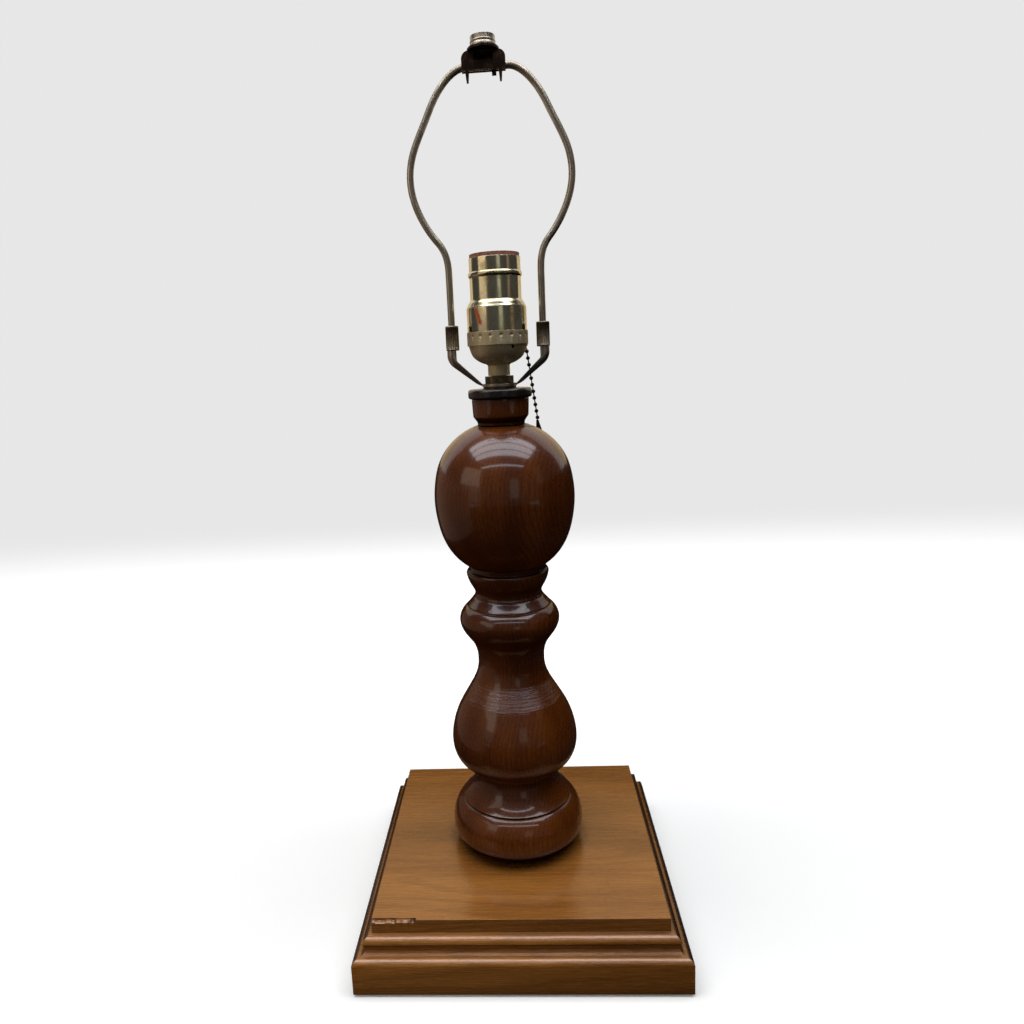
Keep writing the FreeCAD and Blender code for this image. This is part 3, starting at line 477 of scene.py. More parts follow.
def varnished_wood(name, tones, grain, pith, turn, look, end_grain_and_side_shade=None, marks=None):
    """Stained and varnished timber; the varnish is a clear coat over a satin stain."""
    material, tree, shader = new_finish(name)
    dark, middle, light, pore = (stated(tone) for tone in tones)
    place = in_millimetres(tree, tuple(math.radians(angle) for angle in turn), pith)
    wood = use_group(tree, "Wood grain", Vector=place, **grain)
    tone = mix_colour(ramp(wood["Shade"], 0.3, 0.7), middle, light)
    tone = mix_colour(times(wood["Rings"], look["rings"]), tone, dark)
    fibre = ramp(wood["Fibre"], 0.3, 0.7, 1.0 - look["fibre"], 1.0 + look["fibre"])
    tinted = after("CombineColor", {"Red": fibre, "Green": fibre, "Blue": fibre}).outputs[0]
    tone = mix_colour(1.0, tone, tinted, "MULTIPLY")
    tone = mix_colour(times(wood["Pores"], look["pores"]), tone, pore)
    wear = use_group(tree, "Edge wear", Radius=0.7 * MM, Amount=look["rub"], Patch_size=6.0)
    tone = mix_colour(wear["Mask"], tone, light)
    # Darker tone on the faces that look sideways along X: partly the end grain, partly painted shade on the
    # plinth's sides.
    if end_grain_and_side_shade:
        across = maths("ABSOLUTE", axes(facing(tree))["X"])
        tone = mix_colour(ramp(across, 0.06, 0.35, 0.0, 0.94), tone, colour(*end_grain_and_side_shade))
    # Painted shade: the hollows are darkened towards near-black.
    grime = use_group(tree, "Grime", Amount=look["grime"])["Mask"]
    tone = mix_colour(grime, tone, colour(8, 4, 2))
    dust = use_group(tree, "Dust", Amount=look["dust"])["Mask"]
    rough = ramp(wood["Fibre"], 0.25, 0.75, look["rough"] - 0.05, look["rough"] + 0.07)
    # Gloss: none on faces that look down, and none in the painted shade of the hollows.
    varnished = ramp(axes(facing(tree))["Z"], -0.6, -0.1)
    gloss_share = times(varnished, minus(1.0, grime), clamp=True)
    feed_all(
        shader, Base_Color=mix_colour(dust, tone, colour(150, 140, 130)),
        Roughness=plus(rough, times(dust, 0.4), clamp=True), IOR=1.5, Specular_Tint=(*look["tint"], 1),
        Specular_IOR_Level=times(gloss_share, look["shine"]), Coat_Weight=times(gloss_share, look["coat"]),
        Coat_Roughness=look["coat_rough"])
    height = times(wood["Height"], look["relief"])
    if marks:
        height = plus(height, tool_marks(tree, *marks))
    bump(shader, height, MM, Normal=wear["Soft normal"])
    return material


def worn_metal(name, base, dull, bright, rough, cover, patch, rub, reach, relief):
    """Metal with dull patches, edges rubbed bright as far as the reach in mm, and fine marks."""
    material, tree, shader = new_finish(name)
    aged = use_group(tree, "Tarnish", Vector=in_millimetres(tree), Patch_size=patch, Cover=cover)
    wear = use_group(tree, "Edge wear", Radius=reach * MM, Amount=rub, Patch_size=3.0)
    tone = mix_colour(aged["Mask"], stated(base), stated(dull))
    tone = mix_colour(times(aged["Specks"], 0.35), tone, colour(40, 30, 18))
    tone = mix_colour(wear["Mask"], tone, stated(bright))
    dust = use_group(tree, "Dust", Amount=0.05)["Mask"]
    fine = ramp(aged["Rubbing"], 0.3, 0.7, rough * 0.8, rough * 1.25)
    fine = plus(fine, times(aged["Mask"], 0.16))
    feed_all(
        shader, Base_Color=mix_colour(dust, tone, colour(120, 112, 100)),
        Roughness=minus(fine, times(wear["Mask"], 0.1), clamp=True),
        Metallic=minus(1.0, times(dust, 0.9), clamp=True))
    bump(shader, aged["Rubbing"], relief * MM, 0.6, Normal=wear["Soft normal"])
    return material


def streaked_shell(*metal):
    """The shell's brass, with a red-orange streak at the front."""
    material = worn_metal(*metal)
    tree = material.node_tree
    shader = tree.nodes["Principled BSDF"]
    streak_height, streak_turn = 393.4, math.radians(36)
    place = in_millimetres(tree, (0, 0, streak_turn))
    parts = axes(place)
    rise = minus(parts["Z"], streak_height)
    leaning = plus(parts["X"], times(rise, 0.33))
    ragged = times(minus(fog(place, 0.9, 4.0, 0.7), 0.5), 2.6)
    narrow = ramp(maths("ABSOLUTE", plus(leaning, ragged)), 1.6, 0.9)
    short = ramp(plus(maths("ABSOLUTE", rise), ragged), 5.8, 4.4)
    front = ramp(parts["Y"], -10.0, -12.0)
    mask = times(times(narrow, short), front, clamp=True)
    bare = {key: shader.inputs[key].links[0].from_socket for key in ("Base Color", "Metallic", "Roughness")}
    feed_all(
        shader, Base_Color=mix_colour(mask, bare["Base Color"], colour(190, 78, 38)),
        Metallic=minus(bare["Metallic"], mask, clamp=True),
        Roughness=plus(bare["Roughness"], times(mask, 0.3), clamp=True))
    return material


def plain_board(name, base, other, rough, grain_size, relief, shine=0.4):
    """Matt pressed or moulded stuff with a mottled colour and a fine surface."""
    material, tree, shader = new_finish(name)
    place = in_millimetres(tree)
    clouds = fog(place, 1.0 / (grain_size * 6), 4.0, 0.65)
    grains = fog(place, 1.0 / grain_size, 3.0, 0.6)
    tone = mix_colour(ramp(clouds, 0.35, 0.65), stated(base), stated(other))
    wear = use_group(tree, "Edge wear", Radius=0.3 * MM, Amount=0.5, Patch_size=2.0)
    tone = mix_colour(times(wear["Mask"], 0.4), tone, stated(other))
    feed_all(
        shader, Base_Color=tone, Roughness=ramp(grains, 0.3, 0.7, rough - 0.08, rough + 0.08),
        Specular_IOR_Level=shine)
    bump(shader, grains, relief * MM, 0.8, Normal=wear["Soft normal"])
    return material


def soft_felt(name, base, other):
    material, tree, shader = new_finish(name)
    place = in_millimetres(tree)
    tufts = fog(place, 1.4, 5.0, 0.75)
    hairs = fog(scaled(place, (1, 0.25, 1), turn=(0, 0, 0.7)), 5.0, 3.0, 0.7, 1.2)
    tone = mix_colour(ramp(tufts, 0.3, 0.7), stated(base), stated(other))
    tone = mix_colour(ramp(hairs, 0.6, 0.8, 0.0, 0.35), tone, colour(90, 104, 90))
    feed_all(shader, Base_Color=tone, Roughness=ramp(tufts, 0.2, 0.8, 0.88, 1.0), Sheen_Weight=0.3)
    bump(shader, plus(tufts, times(hairs, 0.6)), 0.25 * MM)
    return material


# Each finish: its maker and what the maker takes. Woods: four tones (dark, middle, light, pore), grain in
# mm, place of the pith in mm, turn of the grain in degrees, look, and where they apply the darker tone of
# the end grain and the painted shade of the plinth's sides, and the tool marks (low, high, pitch and depth
# in mm). Metals: base, dull and bright tone, roughness, cover and size in mm of the dull patches, rubbing
# of the edges, its reach and the relief in mm.
# Boards: two tones, roughness, grain size and relief in mm, shine.
FINISHES = {
    "walnut": (
        varnished_wood, "Walnut plinth", ((98, 56, 14), "walnut", (154, 98, 38), (62, 32, 8)),
        {"Ring_width": 3.8, "Wander": 11.0, "Fibre_width": 0.55, "Pore_length": 3.0},
        (8, 62, 0), (0, 90, 0),
        {"rings": 0.3, "fibre": 0.13, "pores": 0.28, "dust": 0.02, "grime": 0.5, "rub": 0.2, "rough": 0.25,
         "tint": (1.0, 0.76, 0.6), "shine": 1.0, "coat": 0.4, "coat_rough": 0.14, "relief": 0.06},
        (42, 25, 15)),
    "mahogany": (
        varnished_wood, "Stained turning wood", ((40, 15, 3), "mahogany", (100, 50, 11), (22, 8, 3)),
        {"Ring_width": 2.1, "Wander": 4.0, "Fibre_width": 0.5, "Pore_length": 7.0},
        (26, 19, 0), (2, 1.5, 0),
        {"rings": 0.3, "fibre": 0.22, "pores": 0.6, "dust": 0.01, "grime": 0.95, "rub": 0.1, "rough": 0.22,
         "tint": (0.9, 0.93, 1.0), "shine": 0.25, "coat": 0.62, "coat_rough": 0.09, "relief": 0.05},
        None, (146, 159, 1.9, 0.65)),
    "ebony": (
        varnished_wood, "Ebonised wood", ((6, 4, 4), "ebony", (40, 28, 26), (3, 2, 2)),
        {"Ring_width": 2.5, "Wander": 4.0, "Fibre_width": 0.5, "Pore_length": 6.0},
        (30, 10, 0), (0, 0, 0),
        {"rings": 0.4, "fibre": 0.2, "pores": 0.5, "dust": 0.05, "grime": 0.4, "rub": 0.15, "rough": 0.22,
         "tint": (0.9, 0.94, 1.0), "shine": 0.4, "coat": 0.25, "coat_rough": 0.12, "relief": 0.01}),
    "brass": (
        worn_metal, "Tarnished brass", "brass", (164, 150, 110), (236, 226, 196),
        0.18, 0.4, 11.0, 0.7, 0.3, 0.01),
    "shell brass": (
        streaked_shell, "Socket shell brass", "brass", (178, 166, 128), (240, 232, 206),
        0.13, 0.3, 14.0, 0.5, 0.3, 0.01),
    "cap brass": (
        worn_metal, "Socket cap brass", (226, 214, 184), (196, 180, 142), "brass",
        0.46, 0.5, 9.0, 0.6, 0.3, 0.01),
    "bronze": (
        worn_metal, "Antique bronze", "bronze", (146, 134, 116), (204, 192, 168),
        0.3, 0.3, 16.0, 0.6, 0.12, 0.0012),
    "dark bronze": (
        worn_metal, "Dark bronze", (158, 141, 118), (113, 100, 82), (214, 194, 160),
        0.36, 0.5, 5.0, 0.9, 0.3, 0.03),
    "black bronze": (
        worn_metal, "Blackened bronze", (76, 58, 44), (44, 33, 26), (150, 118, 80),
        0.4, 0.5, 5.0, 0.8, 0.25, 0.03),
    "steel": (
        worn_metal, "Plated steel", (176, 172, 164), (120, 112, 100), (214, 212, 206),
        0.32, 0.5, 8.0, 0.6, 0.3, 0.02),
    "dark steel": (
        worn_metal, "Oiled steel", (118, 104, 76), (78, 68, 50), (170, 156, 124),
        0.36, 0.5, 5.0, 0.7, 0.3, 0.03),
    "aluminium": (
        worn_metal, "Screw shell aluminium", (206, 206, 208), (150, 148, 144), (232, 232, 232),
        0.25, 0.3, 8.0, 0.4, 0.2, 0.01),
    "fibre": (plain_board, "Vulcanised fibre", "fibre", (118, 74, 58), 0.72, 0.35, 0.05, 0.25),
    "moulded": (plain_board, "Moulded insulator", (46, 36, 30), (62, 48, 40), 0.34, 0.5, 0.01),
    "bushing": (plain_board, "Bushing plastic", (52, 38, 28), (40, 28, 20), 0.45, 0.4, 0.02),
    "felt": (soft_felt, "Green felt", "felt", (34, 52, 38)),
}
made_finishes = {}


def finish_named(name):
    if name not in made_finishes:
        maker, *settings = FINISHES[name]
        made_finishes[name] = maker(*settings)
    return made_finishes[name]


# Settings that a user would change

def length(name, description, default):
    return FloatProperty(name=name, description=description, default=default, unit="LENGTH",
                         subtype="DISTANCE", precision=5)


def shade(name, description, *screen):
    return FloatVectorProperty(name=name, description=description, default=colour(*screen), size=4,
                               subtype="COLOR", min=0.0, max=1.0)


class LampFinishes(bpy.types.PropertyGroup):
    walnut: shade("Plinth", "Main colour of the plinth's wood", 128, 77, 24)
    mahogany: shade("Column", "Main colour of the turned column", 74, 32, 5)
    ebony: shade("Disc", "Colour of the blackened disc", 18, 13, 13)
    brass: shade("Brass", "Colour of the socket's brass", 216, 204, 170)
    bronze: shade("Bronze", "Colour of the harp and its saddle", 174, 162, 144)
    fibre: shade("Fibre", "Colour of the socket's fibre liner", 156, 104, 84)
    felt: shade("Felt", "Colour of the felt under the plinth", 46, 66, 50)


class LampTurning(bpy.types.PropertyGroup):
    steps: IntProperty(name="Steps", description="Steps round each turning", default=72, min=24, max=256)
    arris: length("Arris", "How far a sharp turned edge is rounded over", 0.28 * MM)
    plinth_edge: length("Plinth edge", "How far the plinth's edges are rounded over", 0.45 * MM)
    chip_depth: length("Chip depth", "Depth of the split in the plinth's front edge", 1.6 * MM)
    chip_width: length("Chip width", "Length of the split in the plinth's front edge", 27 * MM)


class LampSocket(bpy.types.PropertyGroup):
    dimples: IntProperty(name="Dimples", description="Crimped dimples round the cap", default=18, min=0)
    dimple_radius: length("Dimple radius", "Radius of one crimped dimple", 1.15 * MM)
    dimple_depth: length("Dimple depth", "How deep a dimple is pressed", 0.55 * MM)
    dimple_drop: length("Dimple drop", "How far the dimples lie below the cap's rim", 2.6 * MM)
    vent_radius: length("Vent radius", "Radius of the small hole at the cap's step", 1.1 * MM)
    thread_pitch: length("Thread pitch", "Pitch of the rolled screw shell", 3.63 * MM)
    thread_depth: length("Thread depth", "Depth of the rolled thread", 0.6 * MM)


class LampHardware(bpy.types.PropertyGroup):
    knurls: IntProperty(name="Knurls", description="Flutes round each sleeve", default=18, min=12)
    knurl_depth: length("Knurl depth", "Depth of the sleeves' flutes", 0.4 * MM)
    sleeve_rim: length("Sleeve rim", "Length of the plain rim at each end of a sleeve", 1.2 * MM)
    fine_pitch: length("Fine pitch", "Pitch of the pipe's thread", 0.94 * MM)
    fine_depth: length("Fine depth", "Depth of the pipe's thread", 0.42 * MM)
    thread_length: length("Thread length", "Length of the thread at each end of the pipe", 15 * MM)
    bead_radius: length("Bead radius", "Radius of the pull chain's beads", 1.3 * MM)
    bead_pitch: length("Bead pitch", "Distance between two beads", 4.33 * MM)
    link_radius: length("Link radius", "Radius of the wire between two beads", 0.4 * MM)


class LampStage(bpy.types.PropertyGroup):
    eye: FloatVectorProperty(name="Camera", description="Where the camera stands", size=3,
                             default=(0.0112, -0.5005, 0.3667), subtype="TRANSLATION", unit="LENGTH")
    lens: FloatProperty(name="Lens", description="Focal length in millimetres", default=27.71)
    shift: FloatProperty(name="Shift", description="Sideways shift of the frame", default=0.0375)


# Operators, one for each piece or group of like pieces

class LAMP_OT_felt(bpy.types.Operator):
    """Finish the felt under the plinth"""
    bl_idname = "lamp.felt"
    bl_label = "Felt"

    def execute(self, context):
        finish_nodes(base_felt="felt")
        return {"FINISHED"}


def slice_near(bm, chosen, place, direction):
    """Cuts only the faces that the test picks."""
    near = [f for f in bm.faces if chosen(f)]
    around = {v for f in near for v in f.verts} | {e for f in near for e in f.edges} | set(near)
    bmesh.ops.bisect_plane(bm, geom=list(around), dist=0.01 * MM, plane_co=place, plane_no=direction)


def split_front_edge(bm, depth, width):
    """A splinter is missing along the top edge at the front left corner."""
    near = 0.01 * MM
    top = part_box("base_plinth")[1].z
    lip = min(v.co.y for v in bm.verts if v.co.z > top - near)
    start, end = lip, lip + width
    back, ridge = 1.25 * depth, 0.55 * depth

    def front_corner(face):
        middle = face.calc_center_median()
        return middle.y < lip + 6 * MM or (face.normal.z > 0.9 and middle.z > top - 0.1 * MM)

    def in_split(face):
        middle = face.calc_center_median()
        return (start - 0.1 * MM < middle.x < end and middle.y < lip + 100 * MM
                and middle.z > top - 9 * MM and front_corner(face))

    cuts = 34
    for n in range(cuts + 1):
        slice_near(bm, front_corner, (start + (end - start) * n / cuts, 0, 0), (1, 0, 0))
    for step in (back + 0.12 * MM, back, ridge + 0.1 * MM, ridge):
        slice_near(bm, in_split, (0, lip + step, 0), (0, 1, 0))
    slice_near(bm, in_split, (0, 0, top - 1.45 * depth), UP)
    for v in bm.verts:
        inward = v.co.y - lip
        inside = start - near < v.co.x < end - near and v.co.z >= top - near
        if not inside or inward > back + 0.06 * MM:
            continue
        grain = noise.noise(Vector((v.co.x * 900, 1.7, inward * 300)))
        torn = noise.noise(Vector((v.co.x * 420, 8.2, 0)))
        fade = min(1.0, (end - v.co.x) / width * 14)
        if inward > back - near:
            fall = 0.8 + 0.2 * grain
        elif inward > ridge - near:
            fall = 1.0 + 0.3 * grain
        else:
            fall = 1.2 + 0.25 * grain
        v.co.z -= depth * fade * (fall + 0.45 * torn)
        v.co.y += depth * (0.5 * torn + (0.18 if inward < near else 0.0)) * fade


class LAMP_OT_plinth(bpy.types.Operator):
    """Shape the moulded plinth with worn edges and a split front edge"""
    bl_idname = "lamp.plinth"
    bl_label = "Moulded plinth"

    def execute(self, context):
        turning = context.scene.lamp_turning
        bm = joined_copy("base_plinth")
        merge_flat(bm, 0.6)
        split_front_edge(bm, turning.chip_depth, turning.chip_width)
        split_large_faces(bm)
        piece = place_piece(bm, "moulded_plinth", "lamp", "walnut", ["base_plinth"])
        rounded(piece, turning.plinth_edge)
        return {"FINISHED"}


class LAMP_OT_column(bpy.types.Operator):
    """Turn the baluster, the ball, the collar and the disc"""
    bl_idname = "lamp.column"
    bl_label = "Turned column"

    def execute(self, context):
        turning = context.scene.lamp_turning
        for node, name, finish, slot in (
            ("turned_baluster", "baluster_turning", "mahogany", "mahogany"),
            ("ball_turning", "ball_on_baluster", "mahogany", "mahogany"),
            ("neck_collar", "collar_turning", "mahogany", "mahogany"),
            ("cap_disc", "disc_turning", "ebony", "ebonised"),
        ):
            bm = turned_copy(node, turning.steps, turning.arris)
            piece = place_piece(bm, name, "lamp", finish, [node])
            smooth = piece.modifiers.new("Smooth turning", "SUBSURF")
            smooth.levels = smooth.render_levels = 1
        return {"FINISHED"}


def thread_tube(bm, radius, hardware, low, high, bore):
    """Adds a length of tube with a fine thread outside and a plain bore."""
    pitch = hardware.fine_pitch
    root = radius - hardware.fine_depth
    profile = [(root, 0), (radius, 0.42 * pitch), (radius, 0.55 * pitch), (root, 0.97 * pitch),
               (root, pitch)]
    wall = bmesh.new()
    helix_wall(wall, profile, pitch, low, high, 24)
    for height in (low, high):
        set_radius(draw_out(wall, open_edges(wall, height))[0], bore)
    bmesh.ops.bridge_loops(wall, edges=[e for e in wall.edges if e.is_boundary])
    face_outward(wall)
    mesh = bpy.data.meshes.new("thread")
    wall.to_mesh(mesh)
    wall.free()
    bm.from_mesh(mesh)
    bpy.data.meshes.remove(mesh)


class LAMP_OT_fastenings(bpy.types.Operator):
    """Finish the pipe, its nuts and washers and the cord bushing"""
    bl_idname = "lamp.fastenings"
    bl_label = "Pipe and fastenings"

    def execute(self, context):
        hardware = context.scene.lamp_hardware
        pipe_bore = 3.4 * MM
        low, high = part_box("threaded_pipe")
        lower, upper = low.z + hardware.thread_length, high.z - hardware.thread_length
        bm = joined_copy("threaded_pipe")
        cut_level(bm, upper, clear_outer=True)
        cut_level(bm, lower, clear_inner=True)
        for start, end in ((low.z, lower), (upper, high.z)):
            thread_tube(bm, high.x, hardware, start, end, pipe_bore)
        place_piece(bm, "threaded_lamp_pipe", "lamp", "steel", ["threaded_pipe"], 50)
        finish_nodes(base_washer="steel", base_nut="steel", cord_bushing="bushing",
                     saddle_washer="dark steel", saddle_locknut="dark steel")
        return {"FINISHED"}


class LAMP_OT_saddle(bpy.types.Operator):
    """Finish the pressed saddle that holds the harp"""
    bl_idname = "lamp.saddle"
    bl_label = "Harp saddle"

    def execute(self, context):
        finish_nodes(harp_saddle="bronze")
        return {"FINISHED"}


def press_dimples(bm, socket, rim, radius):
    """Crimped dimples in a ring below the rim, one of them just right of the front."""
    level = rim - socket.dimple_drop
    for n in range(-4, 5):
        cut_level(bm, level + socket.dimple_radius * n / 4)
    first = math.radians(8)
    each = FULL_TURN / socket.dimples
    wall = 1.2 * MM
    for v in bm.verts:
        reach = math.hypot(v.co.x, v.co.y)
        if abs(v.co.z - level) > socket.dimple_radius or reach < radius - wall:
            continue
        angle = math.atan2(v.co.x, -v.co.y) - first
        off = (angle + each / 2) % each - each / 2
        away = math.hypot(off * reach, v.co.z - level) / socket.dimple_radius
        if away < 1:
            sink = socket.dimple_depth * (1 - away * away) ** 1.5
            set_radius([v], reach - sink)


def pierce(bm, centre, direction, radius):
    """Round hole through both walls near the centre."""
    def off_axis(point):
        arm = point - centre
        return (arm - direction * arm.dot(direction)).length

    middles = {f: f.calc_center_median() for f in bm.faces}
    near = [f for f, middle in middles.items()
            if (middle - centre).length < 4 * radius and off_axis(middle) < radius]
    bmesh.ops.delete(bm, geom=near, context="FACES")
    edges = [e for e in bm.edges if e.is_boundary and (e.verts[0].co - centre).length < 5 * radius]
    for v in {v for e in edges for v in e.verts}:
        arm = v.co - centre
        depth = direction * arm.dot(direction)
        v.co = centre + depth + (arm - depth).normalized() * radius
    bmesh.ops.bridge_loops(bm, edges=edges)


class LAMP_OT_socket(bpy.types.Operator):
    """Spin the socket's cap with its dimples, the shell and the fibre liner"""
    bl_idname = "lamp.socket"
    bl_label = "Socket"

    def execute(self, context):
        socket = context.scene.lamp_socket
        low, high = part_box("socket_cap")
        bm = turned_copy("socket_cap", 240, 0)
        press_dimples(bm, socket, high.z, high.x)
        vent_side = Matrix.Rotation(math.radians(32), 3, "Z") @ FRONT
        vent_reach = high.x - 1.3 * MM
        vent_height = low.z + 0.635 * (high.z - low.z)
        for n in range(-6, 7):
            cut_level(bm, vent_height + socket.vent_radius * n / 3)
        pierce(bm, vent_side * vent_reach + UP * vent_height, vent_side, socket.vent_radius)
        place_piece(bm, "socket_cap_dimpled", "lamp", "cap brass", ["socket_cap"], 38)
        bm = turned_copy("socket_shell", 128, 0)
        place_piece(bm, "socket_shell_spun", "lamp", "shell brass", ["socket_shell"], 38)
        bm = turned_copy("shell_liner", 96, 0.12 * MM)
        place_piece(bm, "fibre_liner", "lamp", "fibre", ["shell_liner"], 38)
        finish_nodes(cap_set_screw="steel")
        return {"FINISHED"}


class LAMP_OT_socket_inside(bpy.types.Operator):
    """Roll the threaded screw shell and finish what lies round it"""
    bl_idname = "lamp.socket_inside"
    bl_label = "Inside of the socket"

    def execute(self, context):
        socket = context.scene.lamp_socket
        low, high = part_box("screw_shell")
        sheet, clear, floor_radius = 0.3 * MM, 0.35 * MM, 9.0 * MM
        crest = high.x - clear
        pitch, swing = socket.thread_pitch, socket.thread_depth / 2
        points = 8
        profile = [(crest - swing - swing * math.cos(FULL_TURN * n / points), pitch * n / points)
                   for n in range(points + 1)]
        bm = bmesh.new()
        helix_wall(bm, profile, pitch, low.z + clear, high.z, 48)
        set_radius(draw_out(bm, open_edges(bm, low.z + clear))[0], floor_radius)
        face_outward(bm)
        piece = place_piece(bm, "rolled_screw_shell", "lamp", "aluminium", ["screw_shell"], 60)
        wall = piece.modifiers.new("Sheet", "SOLIDIFY")
        wall.thickness = sheet
        wall.offset = 0
        finish_nodes(
            socket_interior="moulded", centre_contact="brass", terminal_plates="brass",
            terminal_screws="brass", chain_lever="steel", lever_pin="steel", return_spring="steel",
            switch_rotor="fibre", rotor_pin="steel", chain_guide="brass")
        return {"FINISHED"}


class LAMP_OT_chain(bpy.types.Operator):
    """String the pull chain's beads"""
    bl_idname = "lamp.chain"
    bl_label = "Pull chain"

    def execute(self, context):
        hardware = context.scene.lamp_hardware
        swing = next(j for j in frame["joints"] if j["name"] == "chain_swing")
        pivot = Vector(swing["pos_m"])
        low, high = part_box("chain_bell")
        way = ((low + high) / 2 - pivot).normalized()
        bead_count = 12
        turn = standing_along(way)
        bm = bmesh.new()
        for n in range(1, bead_count + 1):
            centre = pivot + way * (hardware.bead_pitch * n)
            bmesh.ops.create_uvsphere(
                bm, u_segments=20, v_segments=14, radius=hardware.bead_radius,
                matrix=Matrix.Translation(centre) @ turn)
            bmesh.ops.create_cone(
                bm, cap_ends=True, segments=10, radius1=hardware.link_radius, radius2=hardware.link_radius,
                depth=hardware.bead_pitch - 1.6 * hardware.bead_radius,
                matrix=Matrix.Translation(centre - way * (hardware.bead_pitch / 2)) @ turn)
        place_piece(bm, "hanging_chain", "chain_run", "black bronze", ["pull_chain"])
        finish_nodes(chain_bell="black bronze", pull_lead="black bronze")
        return {"FINISHED"}


class LAMP_OT_harp(bpy.types.Operator):
    """Bend the harp's wire; finish its knurled sleeves, bracket, stud and knob"""
    bl_idname = "lamp.harp"
    bl_label = "Harp"

    def execute(self, context):
        hardware = context.scene.lamp_hardware
        self.bend_wire()
        for side in ("left", "right"):
            node = "harp_sleeve_" + side
            low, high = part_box(node)
            middle = (low.x + high.x) / 2
            bm = turned_copy(node, 6 * hardware.knurls, 0, middle)
            self.knurl(bm, middle, low, high, hardware)
            piece = place_piece(
                bm, "knurled_sleeve_" + side, side + "_sleeve", "dark bronze", [node], 50)
            piece.data.materials.append(finish_named("bronze"))
        finish_nodes(harp_stud="black bronze")
        bm = joined_copy("harp_bracket")
        merge_flat(bm, 1)
        split_large_faces(bm)
        piece = place_piece(bm, "folded_bracket", "harp", "black bronze", ["harp_bracket"])
        rounded(piece, 0.25 * MM)
        low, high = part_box("harp_stud")
        bm = turned_copy("finial_knob", 64, 0.15 * MM, (low.x + high.x) / 2)
        place_piece(bm, "turned_knob", "knob", "bronze", ["finial_knob"], 40)
        return {"FINISHED"}

    def bend_wire(self):
        """Harp wire: straight legs, an even bow and a flat top that the bracket holds."""
        low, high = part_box("harp_wire")
        radius = high.y
        top = high.z - radius
        path = []
        for side in (1, -1):
            knots = []
            for out, drop, degrees, before, after in HARP_BOW:
                angle = math.radians(degrees)
                knot = Vector((side * out * MM, 0, top - drop * MM))
                way = Vector((side * math.cos(angle), 0, math.sin(angle)))
                knots.append((knot - way * (before * MM), knot, knot + way * (after * MM)))
            line = [Vector((knots[0][1].x, 0, low.z))]
            for (_, start, leaving), (arriving, end, _) in zip(knots, knots[1:]):
                line += interpolate_bezier(start, leaving, arriving, end, BOW_POINTS)[:-1]
            line.append(knots[-1][1])
            path += line[::side]
        bm = bmesh.new()
        sweep_wire(bm, path, radius)
        place_piece(bm, "bent_harp_wire", "harp", "bronze", ["harp_wire"], 50)

    def knurl(self, bm, middle, low, high, hardware):
        """Straight flutes between two plain rims, which keep their lighter finish."""
        step = 0.12 * MM
        bore_margin = 0.05 * MM
        lower, upper = low.z + hardware.sleeve_rim, high.z - hardware.sleeve_rim
        for height in (lower - step, lower, upper, upper + step):
            cut_level(bm, height)
        outer = (high.x - low.x) / 2
        for v in bm.verts:
            arm = Vector((v.co.x - middle, v.co.y, 0))
            if arm.length < outer - bore_margin or not lower - step / 2 < v.co.z < upper + step / 2:
                continue
            wave = math.cos(hardware.knurls * math.atan2(arm.y, arm.x))
            sink = hardware.knurl_depth * (0.5 - 0.5 * wave) / arm.length
            v.co.x = middle + arm.x * (1 - sink)
            v.co.y = arm.y * (1 - sink)
        for face in bm.faces:
            if not lower - step < face.calc_center_median().z < upper + step:
                face.material_index = 1


# Stage

COOL = (0.90, 0.93, 1.0)
PEACH = (1.0, 0.84, 0.66)
# Lamps: name, place, point aimed at, width, depth, watts and tint
LAMPS = (
    *(("Ceiling tubes", (0, y, 1.95), (0, y, 0), 2.7, 0.36, 15.5, COOL) for y in (-0.62, -0.2, 0.22)),
    ("Front ceiling tube", (0, -1.7, 1.95), (0, -1.7, 0), 3.0, 0.2, 9.5, COOL),
    ("Left panel", (-1.4, -0.92, 0.98), (0, 0, 0.98), 1.1, 0.8, 3.2, PEACH),
    ("Left panel low", (-1.4, -0.92, 0.38), (0, 0, 0.38), 1.1, 0.4, 0.4, PEACH),
    ("Middle panel", (0.62, -1.95, 0.65), (0, 0, 0.65), 0.5, 0.7, 0.45, (0.93, 1.0, 0.86)),
    ("Right panel", (1.45, -0.75, 0.6), (0, 0, 0.4), 0.3, 1.2, 0.25, (1.0, 0.72, 0.5)),
)
BLACK = (0.012, 0.012, 0.012)
ROOM = (0.054, 0.055, 0.06)
PALE = grey(0.80)
